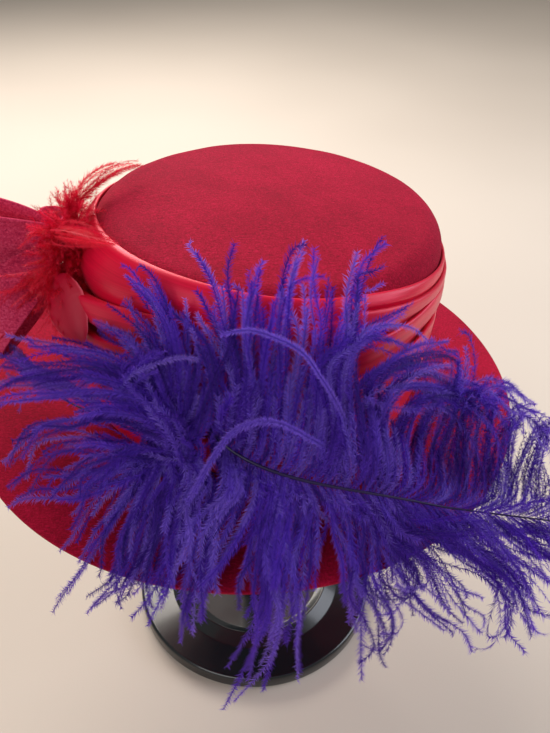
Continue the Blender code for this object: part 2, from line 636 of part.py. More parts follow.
def make_stand(material):
    crest = BASE_HEIGHT + COLLAR_HEIGHT
    dish = floor_of_dish()
    socket_radius = POST_RADIUS + GAP + SOCKET_WALL
    socket_top = dish + SOCKET_HEIGHT
    post_foot = socket_top - SOCKET_DEPTH
    bore = POST_RADIUS + GAP
    make_turned("stand_base", (
        (0.0, 0.0), (BASE_RADIUS - BASE_EDGE, 0.0), (BASE_RADIUS, BASE_EDGE),
        (BASE_RADIUS, BASE_HEIGHT - BASE_EDGE), (BASE_RADIUS - BASE_EDGE, BASE_HEIGHT),
        (COLLAR_OUTER, BASE_HEIGHT), (COLLAR_INNER + COLLAR_ROLL, crest - COLLAR_ROLL / 2),
        (COLLAR_INNER, crest), (COLLAR_INNER - DISH_SLOPE, dish), (socket_radius, dish),
        (socket_radius, socket_top), (bore, socket_top), (bore, post_foot), (0.0, post_foot)), material)

    cap_centre = rest_curve_centre()
    rim = cap_centre + math.sqrt(REST_CURVE ** 2 - REST_RADIUS ** 2)
    cap_foot = rim - REST_RIM
    hub_foot = cap_foot - SOCKET_HEIGHT
    post_top = cap_foot
    spread = math.asin(REST_RADIUS / REST_CURVE)
    dome = [(REST_CURVE * math.sin(spread * share), cap_centre + REST_CURVE * math.cos(spread * share))
            for share in (1.0, 0.75, 0.5, 0.25)]
    make_turned("stand_rest", (
        (0.0, post_top + GAP), (bore, post_top + GAP), (bore, hub_foot), (socket_radius, hub_foot),
        (socket_radius, cap_foot), (REST_RADIUS, cap_foot), *dome, (0.0, cap_centre + REST_CURVE)), material)
    make_turned("stand_post", (
        (0.0, post_foot + GAP), (POST_RADIUS, post_foot + GAP), (POST_RADIUS, post_top), (0.0, post_top)), material)


def main():
    for old in list(bpy.data.objects):
        bpy.data.objects.remove(old)

    felt = finish("red_wool_felt", (0.36, 0.010, 0.035), 0.90)
    bow_felt = finish("bow_wool_felt", (0.30, 0.010, 0.045), 0.92)
    satin = finish("red_satin", (0.62, 0.016, 0.045), 0.34)
    red_feather = finish("red_feather", (0.62, 0.012, 0.022), 0.60)
    purple_feather = finish("purple_ostrich_feather", (0.065, 0.018, 0.30), 0.70)
    plastic = finish("black_gloss_plastic", (0.012, 0.014, 0.020), 0.22)

    hat = bpy.data.objects.new("hat", None)
    hat.location = (0.0, 0.0, BRIM_LEVEL)
    hat.rotation_euler = Euler((math.radians(HAT_LEAN_FRONT), math.radians(HAT_LEAN_SIDE), 0.0))
    bpy.context.scene.collection.objects.link(hat)

    make_crown(hat, felt)
    make_brim(hat, felt)
    make_band(hat, satin)
    make_knot(hat, bow_felt)
    for loop in BOW_LOOPS:
        make_loop(loop, hat, bow_felt)
    make_tuft(hat, red_feather)
    for blade in BLADES:
        make_blade(blade, hat, red_feather)
    for plume in PLUMES:
        make_plume(plume, hat, purple_feather)
    make_stand(plastic)


main()
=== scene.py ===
# A wide-brimmed red felt dress hat with a pleated satin band, a felt bow, red feathers and two purple
# ostrich plumes, on a plain black stand. Metres, +Z up, the hat's front towards -Y.
import math

import bmesh
import bpy
import numpy as np
from mathutils import Euler, Matrix, Vector, noise


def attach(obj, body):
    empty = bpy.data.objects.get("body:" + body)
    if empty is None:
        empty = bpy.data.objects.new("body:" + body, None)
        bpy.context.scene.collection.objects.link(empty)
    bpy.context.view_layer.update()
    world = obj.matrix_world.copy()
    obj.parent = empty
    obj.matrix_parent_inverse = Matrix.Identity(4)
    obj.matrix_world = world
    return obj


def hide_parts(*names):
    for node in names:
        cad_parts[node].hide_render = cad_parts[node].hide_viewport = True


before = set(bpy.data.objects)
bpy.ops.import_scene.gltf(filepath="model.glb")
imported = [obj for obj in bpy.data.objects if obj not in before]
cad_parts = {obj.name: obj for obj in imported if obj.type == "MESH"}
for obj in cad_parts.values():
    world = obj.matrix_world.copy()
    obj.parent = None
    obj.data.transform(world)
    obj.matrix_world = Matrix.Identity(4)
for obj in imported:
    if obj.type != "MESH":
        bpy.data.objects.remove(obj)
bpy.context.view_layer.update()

# How the hat sits, and the two ovals that everything on it follows
hat = {
    "level": 0.2125,        # height of the brim plane
    "leanSide": 5.56,       # degrees, lower at +X
    "leanFront": -1.20,
    "turn": 50.0,           # long axis of the head oval from +X
    "crownLong": 0.0995, "crownShort": 0.0880, "crownHeight": 0.1120,
    "shift": (-0.0015, 0.0015),     # the crown's middle from the brim's
    "brimLong": 0.1687, "brimShort": 0.1520, "brimRise": 0.0050,
    "felt": 0.0020,
    "guideLong": 0.1030, "guideShort": 0.0933,  # the oval just outside the band, for the feathers
}
lean = Euler((math.radians(hat["leanFront"]), math.radians(hat["leanSide"]), 0.0)).to_matrix().to_4x4()
hatMatrix = Matrix.Translation((0.0, 0.0, hat["level"])) @ lean
hatTurn = np.array(lean.to_3x3())


# Small tools

def toLinear(hexColour):
    parts = [int(hexColour[i:i + 2], 16) / 255 for i in (1, 3, 5)]
    return tuple(p / 12.92 if p <= 0.04045 else ((p + 0.055) / 1.055) ** 2.4 for p in parts) + (1.0,)


def setInputs(tree, node, inputs):
    # Each takes a value, or (node, output) for a link
    for socket, value in inputs.items():
        if isinstance(value, tuple) and isinstance(value[0], bpy.types.Node):
            tree.links.new(value[0].outputs[value[1]], node.inputs[socket])
        else:
            node.inputs[socket].default_value = value


def addNode(tree, kind, settings=None, inputs=None):
    node = tree.nodes.new(kind)
    for name, value in (settings or {}).items():
        setattr(node, name, value)
    setInputs(tree, node, inputs or {})
    return node


def addRamp(tree, amount, *stops):
    # Stops are (place, colour), the two ends first
    node = addNode(tree, "ShaderNodeValToRGB", inputs={"Fac": amount})
    for i, (place, colour) in enumerate(stops):
        stop = node.color_ramp.elements[i] if i < 2 else node.color_ramp.elements.new(place)
        stop.position = place
        stop.color = toLinear(colour)
    return node, "Color"


def addNoise(tree, vector, scale, detail, **more):
    inputs = {"Vector": vector, "Scale": scale, "Detail": detail, **more}
    return addNode(tree, "ShaderNodeTexNoise", inputs=inputs), "Fac"


def addMath(tree, operation, *values):
    return addNode(tree, "ShaderNodeMath", {"operation": operation}, dict(enumerate(values))), 0


def addBump(tree, height, strength, distance):
    inputs = {"Height": height, "Strength": strength, "Distance": distance}
    return addNode(tree, "ShaderNodeBump", inputs=inputs), "Normal"


def newMaterial(name):
    material = bpy.data.materials.new(name)
    material.use_nodes = True
    tree = material.node_tree
    return material, tree, tree.nodes["Principled BSDF"]


def letLightThrough(tree, shader, colour, share):
    # Thin barbs glow when the light is behind them
    through = addNode(tree, "ShaderNodeBsdfTranslucent", inputs={"Color": colour})
    both = addNode(tree, "ShaderNodeMixShader", inputs={0: share, 1: (shader, "BSDF"), 2: (through, "BSDF")})
    setInputs(tree, tree.nodes["Material Output"], {"Surface": (both, "Shader")})


def deselectAll():
    for thing in bpy.context.selected_objects:
        thing.select_set(False)


def pick(piece):
    deselectAll()
    piece.select_set(True)
    bpy.context.view_layer.objects.active = piece


def applyModifier(piece, kind, settings):
    pick(piece)
    modifier = piece.modifiers.new(kind.lower(), kind)
    for name, value in settings.items():
        setattr(modifier, name, value)
    bpy.ops.object.modifier_apply(modifier=modifier.name)


def ringShell(name, sides, rows, closeTop=True, closeFoot=False):
    # Rows are half width, half depth and height. A circle is added, then each row is extruded.
    deselectAll()
    bpy.ops.mesh.primitive_circle_add(vertices=sides, radius=1.0, fill_type="NOTHING", location=(0, 0, 0))
    piece = bpy.context.object
    piece.name = piece.data.name = name
    bpy.ops.object.mode_set(mode="EDIT")
    bpy.ops.mesh.select_all(action="SELECT")
    wide, deep, height = rows[0]
    bpy.ops.transform.resize(value=(wide, deep, 1.0), center_override=(0, 0, 0))
    bpy.ops.transform.translate(value=(0, 0, height))
    if closeFoot:
        bpy.ops.mesh.edge_face_add()
        bpy.ops.mesh.inset(thickness=min(wide, deep) * 0.5)
        bpy.ops.mesh.select_all(action="SELECT")
        bpy.ops.mesh.region_to_loop()
    for (wide, deep, height), (nextWide, nextDeep, nextHeight) in zip(rows, rows[1:]):
        bpy.ops.mesh.extrude_region_move()
        bpy.ops.transform.resize(value=(nextWide / wide, nextDeep / deep, 1.0), center_override=(0, 0, 0))
        bpy.ops.transform.translate(value=(0, 0, nextHeight - height))
    if closeTop:
        bpy.ops.mesh.merge(type="CENTER")
    bpy.ops.mesh.select_all(action="SELECT")
    bpy.ops.mesh.normals_make_consistent(inside=False)
    bpy.ops.object.mode_set(mode="OBJECT")
    return piece


def setPlace(piece, matrix):
    pick(piece)
    piece.matrix_world = matrix
    bpy.ops.object.transform_apply(location=True, rotation=True, scale=True)


def smooth(piece, angle=35.0):
    pick(piece)
    bpy.ops.object.shade_smooth_by_angle(angle=math.radians(angle))


def addObject(name, data):
    thing = bpy.data.objects.new(name, data)
    bpy.context.scene.collection.objects.link(thing)
    return thing


def addShape(name, shape):
    mesh = bpy.data.meshes.new(name)
    shape.to_mesh(mesh)
    shape.free()
    return addObject(name, mesh)


def meshFromArrays(name, points, triangles, attributes):
    mesh = bpy.data.meshes.new(name)
    mesh.vertices.add(len(points))
    mesh.vertices.foreach_set("co", np.ascontiguousarray(points, dtype=np.float32).ravel())
    mesh.loops.add(3 * len(triangles))
    mesh.loops.foreach_set("vertex_index", np.ascontiguousarray(triangles, dtype=np.int32).ravel())
    mesh.polygons.add(len(triangles))
    mesh.polygons.foreach_set("loop_start", np.arange(0, 3 * len(triangles), 3, dtype=np.int32))
    mesh.update(calc_edges=True)
    for label, values in attributes.items():
        layer = mesh.attributes.new(label, "FLOAT", "POINT")
        layer.data.foreach_set("value", np.ascontiguousarray(values, dtype=np.float32))
    return addObject(name, mesh)


def finishPiece(piece, material, nodes):
    piece.data.materials.clear()
    piece.data.materials.append(material)
    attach(piece, "root")
    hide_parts(*nodes)


# Places on the hat

def ovalSpot(angle, along, across, offset=0.0):
    turn = math.radians(hat["turn"])
    around = np.radians(angle) - turn
    x, y = along * np.cos(around), across * np.sin(around)
    nx, ny = np.cos(around) / along, np.sin(around) / across
    size = np.hypot(nx, ny)
    x, y = x + nx / size * offset, y + ny / size * offset
    return np.stack([x * math.cos(turn) - y * math.sin(turn), x * math.sin(turn) + y * math.cos(turn)], -1)


def brimTop(share):
    return hat["brimRise"] * (1.0 - np.clip(share, 0.0, 1.0) ** 2) + hat["felt"]


def toWorld(local):
    return np.asarray(local) @ hatTurn.T + np.array((0.0, 0.0, hat["level"]))


def hatSpot(spots):
    # Columns are angle in degrees, reach (0 at the band, 1 at the brim's edge) and height, a share
    # of the crown's height above the brim
    spots = np.asarray(spots, dtype=float)
    angle, reach, height = spots[..., 0], spots[..., 1], spots[..., 2]
    inner = ovalSpot(angle, hat["guideLong"], hat["guideShort"])
    outer = ovalSpot(angle, hat["brimLong"], hat["brimShort"])
    flat = inner + (outer - inner) * reach[..., None]
    level = brimTop(reach) + 0.0003 + height * hat["crownHeight"]
    return toWorld(np.concatenate([flat, level[..., None]], -1))


def bezierAt(points, share):
    share = np.asarray(share, dtype=float)[..., None]
    level = [np.array(point, dtype=float) for point in points]
    while len(level) > 1:
        level = [first + (second - first) * share for first, second in zip(level, level[1:])]
    return level[0]


def curveThrough(points, count):
    # A smooth line through all the points
    points = np.asarray(points, dtype=float)
    padded = np.vstack([2 * points[0] - points[1], points, 2 * points[-1] - points[-2]])
    place = np.linspace(0.0, len(points) - 1 - 1e-9, count)
    index = place.astype(int)
    t = (place - index)[:, None]
    a, b, c, d = (padded[index + i] for i in range(4))
    return 0.5 * (2 * b + (c - a) * t + (2 * a - 5 * b + 4 * c - d) * t ** 2 + (3 * b - a - 3 * c + d) * t ** 3)


# Camera, floor and light

view = {"place": (0.0, -0.3589, 0.5033), "yaw": 0.031, "pitch": 0.672, "roll": 0.028,   # fitted to the photo
        "lens": 37.0, "sensor": 36.0}
ahead = Vector((math.sin(view["yaw"]) * math.cos(view["pitch"]), math.cos(view["yaw"]) * math.cos(view["pitch"]),
                -math.sin(view["pitch"])))
level = Vector((math.cos(view["yaw"]), -math.sin(view["yaw"]), 0.0))
across = math.cos(view["roll"]) * level + math.sin(view["roll"]) * level.cross(ahead)
upward = across.cross(ahead)
cameraData = bpy.data.cameras.new("photoCamera")
cameraData.lens = view["lens"]
cameraData.sensor_width = view["sensor"]
camera = addObject("photoCamera", cameraData)
camera.matrix_world = Matrix.Translation(view["place"]) @ Matrix((across, upward, -ahead)).transposed().to_4x4()
bpy.context.scene.camera = camera
print("camera set")

# Matt card, laid flat: nearly white, warm, with the faint tooth of paper
card, tree, shader = newMaterial("mattCard")
where = (addNode(tree, "ShaderNodeTexCoord"), "Object")
cloud = addNoise(tree, where, 1.6, 2.0)
tooth = addNoise(tree, where, 900.0, 4.0)
setInputs(tree, shader, {
    "Base Color": addRamp(tree, cloud, (0.3, "#CFC5BA"), (0.7, "#D8CEC3")),
    "Roughness": 0.85,
    "Normal": addBump(tree, tooth, 0.12, 0.0004),
})
deselectAll()
bpy.ops.mesh.primitive_plane_add(size=14.0, location=(0, 3.0, 0))
floor = bpy.context.object
floor.name = "floor"
floor.data.materials.append(card)

world = bpy.data.worlds.new("softRoom")
world.use_nodes = True
setInputs(world.node_tree, world.node_tree.nodes["Background"], {"Color": toLinear("#F4EEE6"), "Strength": 0.34})
bpy.context.scene.world = world
bpy.context.scene.view_settings.view_transform = "Standard"

# Soft boxes: place, aim, size, power, colour
softBoxes = {
    "keyBehind": ((-0.45, 1.05, 1.15), (0.0, 0.0, 0.25), 1.0, 26.0, "#FFF6EC"),
    "windowRight": ((1.20, 0.10, 0.80), (0.05, 0.0, 0.25), 0.9, 10.0, "#EEF2FF"),
    "frontFill": ((-0.60, -1.10, 0.95), (0.0, 0.0, 0.20), 0.8, 5.0, "#FFFFFF"),
}
for name, (place, aim, size, power, colour) in softBoxes.items():
    lampData = bpy.data.lights.new(name, "AREA")
    lampData.shape = "SQUARE"
    lampData.size = size
    lampData.energy = power
    lampData.color = toLinear(colour)[:3]
    turned = (Vector(aim) - Vector(place)).to_track_quat("-Z", "Y").to_matrix().to_4x4()
    addObject(name, lampData).matrix_world = Matrix.Translation(place) @ turned
print("floor and lights set")


# Felt, then the crown and the brim

def woolFelt(name, colours, napScale=1150.0):
    # Blocked wool felt: matt, mottled by the nap, with short fibres lying in two slanting directions
    material, tree, shader = newMaterial(name)
    where = (addNode(tree, "ShaderNodeTexCoord"), "Object")
    blotch = addNoise(tree, where, 24.0, 3.0)
    nap = addNoise(tree, where, napScale, 5.0, Roughness=0.7, Distortion=0.6)
    fibres = []
    for slant in ((0.3, 0.2, 0.9), (-0.4, 0.5, -0.6)):
        streak = addNode(tree, "ShaderNodeMapping", inputs={
            "Vector": where, "Rotation": slant, "Scale": (260.0, 1500.0, 900.0)})
        fibres.append(addNoise(tree, (streak, "Vector"), 1.0, 3.0))
    napFibre = addMath(tree, "MULTIPLY_ADD", addMath(tree, "MAXIMUM", *fibres), 0.5, nap)
    mottle = addMath(tree, "MULTIPLY_ADD", blotch, 0.28, napFibre)
    halved = addMath(tree, "MULTIPLY", mottle, 0.5)     # a ramp's stops end at 1
    setInputs(tree, shader, {
        "Base Color": addRamp(tree, halved, (0.36, colours[0]), (0.55, colours[2]), (0.455, colours[1])),
        "Roughness": 0.92,
        "Specular IOR Level": 0.18,
        "Sheen Weight": 0.25,
        "Sheen Roughness": 0.40,
        "Sheen Tint": toLinear("#FF4678"),
        "Normal": addBump(tree, napFibre, 0.55, 0.0005),
    })
    return material


hatFelt = woolFelt("woolFelt", ("#740020", "#9A0028", "#C00E3E"))
# The bow's felt is a pinker, lighter copy of the hat's felt. The extra lightness is painted light, for the
# brightly lit upper bow loop.
bowFeltPaintedLight = woolFelt("bowWoolFeltPaintedLight", ("#A61C48", "#CE345E", "#E0527A"), 900.0)

crown = {
    "sides": 144, "foot": 0.0050, "sideTop": 0.0980, "edge": 0.0140, "dome": 0.0040,
    "sideRows": 10, "edgeStep": 6,      # a row every so many degrees over the rounded edge
    "tipRows": (0.93, 0.85, 0.76, 0.66, 0.55, 0.44, 0.33, 0.22, 0.11, 0.04),    # shares of the way to the middle
    "lumps": 0.0012, "lumpSize": 0.045,
}
rows = []
for i in range(crown["sideRows"] + 1):
    climb = crown["foot"] + (crown["sideTop"] - crown["foot"]) * i / crown["sideRows"]
    rows.append((hat["crownLong"], hat["crownShort"], climb))
for turn in range(crown["edgeStep"], 91, crown["edgeStep"]):
    inset = crown["edge"] * (1 - math.cos(math.radians(turn)))
    rows.append((hat["crownLong"] - inset, hat["crownShort"] - inset,
                 crown["sideTop"] + crown["edge"] * math.sin(math.radians(turn))))
for share in crown["tipRows"]:
    rows.append(((hat["crownLong"] - crown["edge"]) * share, (hat["crownShort"] - crown["edge"]) * share,
                 hat["crownHeight"] + crown["dome"] * (1 - share ** 2)))
crownPiece = ringShell("feltCrown", crown["sides"], rows)
lumpy = bpy.data.textures.new("feltLumps", "CLOUDS")
lumpy.noise_scale = crown["lumpSize"]
applyModifier(crownPiece, "DISPLACE", {"texture": lumpy, "strength": crown["lumps"], "texture_coords": "LOCAL"})
applyModifier(crownPiece, "SOLIDIFY", {"thickness": hat["felt"], "offset": -1.0, "use_even_offset": True})
turned = Matrix.Rotation(math.radians(hat["turn"]), 4, "Z")
setPlace(crownPiece, hatMatrix @ Matrix.Translation((*hat["shift"], 0.0)) @ turned)
smooth(crownPiece)
finishPiece(crownPiece, hatFelt, ["crown"])

brim = {"sides": 192, "rows": 14, "gap": 0.0003, "waves": 0.0016, "waveSize": 0.16, "edge": 0.0006}
inner = (hat["crownLong"] + brim["gap"], hat["crownShort"] + brim["gap"])
rows = []
for i in range(brim["rows"] + 1):
    share = i / brim["rows"]
    rows.append((inner[0] + (hat["brimLong"] - inner[0]) * share,
                 inner[1] + (hat["brimShort"] - inner[1]) * share, float(brimTop(share))))
brimPiece = ringShell("feltBrim", brim["sides"], rows, closeTop=False)
back = Matrix.Rotation(math.radians(-hat["turn"]), 4, "Z") @ Vector((*hat["shift"], 0.0))
for vert in brimPiece.data.vertices:     # the hole follows the crown, which sits a little off the middle
    vert.co += back * max((vert.co.z - hat["felt"]) / hat["brimRise"], 0.0) ** 0.5
wavy = bpy.data.textures.new("brimWaves", "CLOUDS")
wavy.noise_scale = brim["waveSize"]
applyModifier(brimPiece, "DISPLACE", {"texture": wavy, "strength": brim["waves"], "texture_coords": "LOCAL",
                                      "direction": "Z"})
applyModifier(brimPiece, "SOLIDIFY", {"thickness": hat["felt"], "offset": -1.0, "use_even_offset": True})
applyModifier(brimPiece, "BEVEL", {"width": brim["edge"], "segments": 3, "limit_method": "ANGLE",
                                   "angle_limit": math.radians(60)})
setPlace(brimPiece, hatMatrix @ turned)
smooth(brimPiece, 50.0)
finishPiece(brimPiece, hatFelt, ["brim"])
print("crown and brim made")


# Satin band: one long sheet laid round the crown in overlapping pleats that open upwards

band = {
    "around": 320, "rise": 96, "girthRow": 40, "cloth": 0.0005, "bottom": 0.0078,
    "over": 14.0, "overSwing": 45.0, "overToward": -115.0,  # degrees that the hem goes over the crown's edge
    "overWander": 3.0, "wander": 0.0022, "apart": 0.0022, "ripple": 0.08,
    "bow": -172.0, "gather": 36.0,      # where the pleats gather, and how far round that shows
    # How the cloth swells out beside the bow
    "flare": {"out": 0.0120, "toward": -164.0, "wide": 24.0, "height": 0.080, "tall": 0.030, "from": 0.0012,
              "full": 0.003},
    # The turned-in hem: from its top, off the crown
    "hem": ((-0.0045, 0.0007), (-0.0007, 0.0008), (0.0, 0.0013), (-0.0009, 0.0021), (-0.0040, 0.0026)),
    # A pleat: the cloth going in under its fold, from the fold and off the crown, then the fold itself,
    # from the fold and from how proud the pleat stands
    "under": ((0.0010, 0.0020), (-0.0060, 0.0012), (-0.0050, 0.0021)),
    "lip": ((-0.0012, -0.0024), (0.0, -0.0013), (-0.0011, -0.0003), (-0.0042, 0.0)),
    # The foot: off the crown, from the bottom
    "foot": ((0.0038, 0.0040), (0.0014, 0.0)),
    # One row a pleat below the hem: height of its folded edge, how far that swings and towards
    # which angle, how far it dips at the bow, and how proud it stands
    "pleats": (
        {"edge": 0.0970, "swing": 0.0070, "toward": -20.0, "dip": 0.014, "proud": 0.0050},
        {"edge": 0.0770, "swing": 0.0125, "toward": -5.0, "dip": 0.004, "proud": 0.0056},
        {"edge": 0.0560, "swing": 0.0120, "toward": -15.0, "dip": -0.004, "proud": 0.0058},
        {"edge": 0.0340, "swing": 0.0090, "toward": 0.0, "dip": -0.006, "proud": 0.0060},
    ),
}


def bell(distance, width):
    return math.exp(-(distance / width) ** 2)


def angleFrom(angle, other):
    return (angle - other + 180.0) % 360.0 - 180.0


def onCrown(climb, lift):
    # Off the crown's wall and height, at a way up its side and over its rounded edge
    turn = max(climb - crown["sideTop"], 0.0) / crown["edge"]
    return (lift * math.cos(turn) - crown["edge"] * (1 - math.cos(turn)),
            min(climb, crown["sideTop"]) + (crown["edge"] + lift) * math.sin(turn))


def bandProfile(angle):
    # Points down from the top hem, which is turned in behind itself
    east, north = math.cos(math.radians(angle)), math.sin(math.radians(angle))
    over = band["over"] + band["overSwing"] * math.cos(math.radians(angle - band["overToward"])) \
        + band["overWander"] * noise.noise(Vector((east * 1.7, north * 1.7, 0.3)))
    top = crown["sideTop"] + crown["edge"] * math.radians(over)
    points = [onCrown(top + way, lift) for way, lift in band["hem"]]
    last, lastProud = top + band["hem"][-1][0], band["hem"][-1][1]
    for number, pleat in enumerate(band["pleats"]):
        sway = noise.noise(Vector((east * 2.2, north * 2.2, number * 3.7)))
        edge = pleat["edge"] + pleat["swing"] * math.cos(math.radians(angle - pleat["toward"])) \
            - pleat["dip"] * bell(angleFrom(angle, band["bow"]), band["gather"]) + band["wander"] * sway
        edge = min(edge, last - band["apart"])
        proud = pleat["proud"] * (1.0 + 0.10 * sway)
        points.append(onCrown(last - (last - edge) * 0.45, lastProud * 0.96))
        points += [onCrown(edge + way, lift) for way, lift in band["under"]]
        points += [onCrown(edge + way, proud + lift) for way, lift in band["lip"]]
        last, lastProud = edge + band["lip"][-1][0], proud
    points.append((lastProud * 0.95, last - (last - band["bottom"]) * 0.5))
    return points + [(lift, band["bottom"] + up) for lift, up in band["foot"]]


def flareAt(angle, offset, height):
    flare = band["flare"]
    share = bell(angleFrom(angle, flare["toward"]), flare["wide"])
    share *= bell(height - flare["height"], flare["tall"])
    return flare["out"] * share * min(max(offset - flare["from"], 0.0) / flare["full"], 1.0)


satin, tree, shader = newMaterial("redSatin")
# Polyester satin: bright soft highlights along each fold, with a faint thread line across the width
cloth = (addNode(tree, "ShaderNodeUVMap", {"uv_map": "cloth"}), "UV")
threads = addNode(tree, "ShaderNodeMapping", inputs={"Vector": cloth, "Scale": (14.0, 900.0, 1.0)})
thread = addNoise(tree, (threads, "Vector"), 1.0, 2.0)
mixed = addMath(tree, "MULTIPLY_ADD", addNoise(tree, cloth, 28.0, 2.0), 0.8, thread)
halved = addMath(tree, "MULTIPLY", mixed, 0.5)
setInputs(tree, shader, {
    "Base Color": addRamp(tree, halved, (0.3, "#D20634"), (0.6, "#EE1244")),
    "Roughness": 0.34,
    "Specular IOR Level": 0.75,
    "Specular Tint": toLinear("#FF8CA0"),
    "Sheen Weight": 0.45,
    "Sheen Roughness": 0.35,
    "Sheen Tint": toLinear("#FF6478"),
    "Normal": addBump(tree, thread, 0.10, 0.0002),
})

grid = []
for angle in np.linspace(-180.0, 180.0, band["around"], endpoint=False):
    east, north = math.cos(math.radians(angle)), math.sin(math.radians(angle))
    column = []
    for offset, height in curveThrough(bandProfile(angle), band["rise"]):
        if height < crown["sideTop"]:
            ripple = noise.noise(Vector((east * 6.0, north * 6.0, height * 60.0)))
            offset = max(offset * (1.0 + band["ripple"] * ripple), 0.0008)
        offset += flareAt(angle, offset, height)
        flat = ovalSpot(angle, hat["crownLong"], hat["crownShort"], offset)
        column.append((flat[0] + hat["shift"][0], flat[1] + hat["shift"][1], height))
    grid.append(column)
grid = toWorld(np.array(grid))
across = np.concatenate([[0.0], np.cumsum(np.linalg.norm(np.diff(grid[0], axis=0), axis=1))])
ring = grid[:, band["girthRow"]]
girth = float(np.linalg.norm(np.roll(ring, -1, axis=0) - ring, axis=1).sum())
sheet = bmesh.new()
uvLayer = sheet.loops.layers.uv.new("cloth")
verts = [[sheet.verts.new(spot) for spot in column] for column in grid]
for i in range(band["around"]):
    j = (i + 1) % band["around"]
    for k in range(band["rise"] - 1):
        face = sheet.faces.new((verts[i][k], verts[i][k + 1], verts[j][k + 1], verts[j][k]))
        for loop, (u, v) in zip(face.loops, ((i, k), (i, k + 1), (i + 1, k + 1), (i + 1, k))):
            loop[uvLayer].uv = (u / band["around"] * girth, across[v])
bandPiece = addShape("satinBand", sheet)
applyModifier(bandPiece, "SOLIDIFY", {"thickness": band["cloth"], "offset": 0.0})
smooth(bandPiece, 60.0)
finishPiece(bandPiece, satin, ["satin_band"])
print("satin band made", round(float(across[-1]), 4), round(girth, 4))


# Feathers

barb = {
    "shortest": 0.008, "fewest": 8,     # shorter barbs are left out, and the rest have so many barbules
    "size": (0.75, 1.15), "splaySpread": 9.0, "lay": 0.25,
    "shaftSteps": 18, "shaftTaper": 0.7, "shaftLift": 0.00012,
}


def growFeather(paths, look, seed):
    # Each path is a barb: a thin shaft with a row of barbules down both sides, all in one mesh
    rng = np.random.default_rng(seed)
    points, triangles, tones, alongs = [], [], [], []
    start = 0
    for path in paths:
        steps = np.linalg.norm(np.diff(path, axis=0), axis=1)
        run = np.concatenate([[0.0], np.cumsum(steps)])
        length = run[-1]
        if length < barb["shortest"]:
            continue
        count = max(int(length / look["spacing"]), barb["fewest"])
        share = np.linspace(0.0, 1.0, count + 1)
        base = np.stack([np.interp(share * length, run, path[:, k]) for k in range(3)], 1)
        ahead = np.gradient(base, axis=0)
        ahead /= np.linalg.norm(ahead, axis=1)[:, None] + 1e-12
        facing = np.stack([base[:, 0], base[:, 1], np.full(count + 1, look["faceUp"] * 0.1)], 1)
        facing /= np.linalg.norm(facing, axis=1)[:, None]
        facing = facing + rng.normal(0.0, look["tilt"], 3)
        side = np.cross(ahead, facing)
        side /= np.linalg.norm(side, axis=1)[:, None] + 1e-12
        up = np.cross(side, ahead)
        # A look may raise its lowest tone; the curled barbs do so as painted light
        barbTone = rng.uniform(look.get("paintedLightToneFrom", 0.0), 1.0)
        reach = look["barbule"] * rng.uniform(*barb["size"])
        fill = np.interp(share[:-1], look["fillAt"], look["fill"])
        points.append(base)
        tones.append(np.full(count + 1, barbTone))
        alongs.append(np.full(count + 1, 0.0))
        first = start + count + 1
        index = np.arange(count)
        for sign in (1.0, -1.0):
            roll = rng.normal(0.0, look["roll"], count) + rng.normal(0.0, barb["lay"])
            splay = np.radians(rng.normal(look["splay"], barb["splaySpread"], count))
            aside = (side * sign)[:-1] * np.cos(roll)[:, None] + up[:-1] * np.sin(roll)[:, None]
            way = ahead[:-1] * np.cos(splay)[:, None] + aside * np.sin(splay)[:, None]
            size = reach * fill * rng.uniform(*barb["size"], count)
            tip = base[:-1] + way * size[:, None]
            tip[:, 2] -= size * look["droop"]
            points.append(tip)
            tones.append(np.full(count, barbTone))
            alongs.append(np.full(count, 1.0))
            pair = (index, index + 1) if sign > 0 else (index + 1, index)
            triangles.append(np.stack([start + pair[0], start + pair[1], first + index], 1))
            first += count
        every = max(count // barb["shaftSteps"], 1)
        line = base[::every]
        wide = side[::every] * (look["shaft"] * (1.0 - barb["shaftTaper"] * share[::every]))[:, None] / 2
        lift = up[::every] * barb["shaftLift"]
        points += [line + wide + lift, line - wide + lift]
        tones.append(np.full(2 * len(line), barbTone))
        alongs.append(np.full(2 * len(line), -1.0))
        a = first + np.arange(len(line) - 1)
        b = a + len(line)
        triangles += [np.stack([a, b, b + 1], 1), np.stack([a, b + 1, a + 1], 1)]
        start = first + 2 * len(line)
    attributes = {"barbTone": np.concatenate(tones), "outward": np.concatenate(alongs)}
    return np.vstack(points), np.vstack(triangles), attributes


def addFeatherPiece(name, paths, look, seed, kind, node):
    material, slotName = kind
    points, triangles, attributes = growFeather(paths, look, seed)
    piece = meshFromArrays(name, points, triangles, attributes)
    finishPiece(piece, material, [node])
    print(name, len(paths), "barbs", len(triangles), "triangles")


# Felt bow: three loops of a cut strip and the wrap that holds them

bow = {
    "felt": 0.0018, "edge": 0.0005, "steps": 72, "across": 12, "open": 24.0, "pinch": 0.30, "neck": 0.45,
    "sag": 0.0014, "cup": 0.0016,       # how far the strip bends by itself, and gathers near the knot
    "knot": (-0.10521, -0.01816, 0.08988), "knotHalf": (0.0075, 0.0100, 0.0145), "faces": -175.5,
    "folds": 0.0012, "foldSize": 0.006, "foldTwist": 4.0,
    "loops": {
        "bowLoopUpper": {"node": "bow_loop_upper", "heading": 176.0, "climb": -3.0, "roll": 0.0,
                         "length": 0.070, "depth": 0.024, "width": 0.038, "start": 0.00791},
        "bowLoopLower": {"node": "bow_loop_lower", "heading": 212.0, "climb": -41.0, "roll": -45.0,
                         "length": 0.056, "depth": 0.032, "width": 0.0361, "start": 0.01415},
        "bowLoopBack": {"node": "bow_loop_back", "heading": 114.0, "climb": -24.0, "roll": 0.0,
                        "length": 0.0483, "depth": 0.016, "width": 0.030, "start": 0.01081},
    },
}


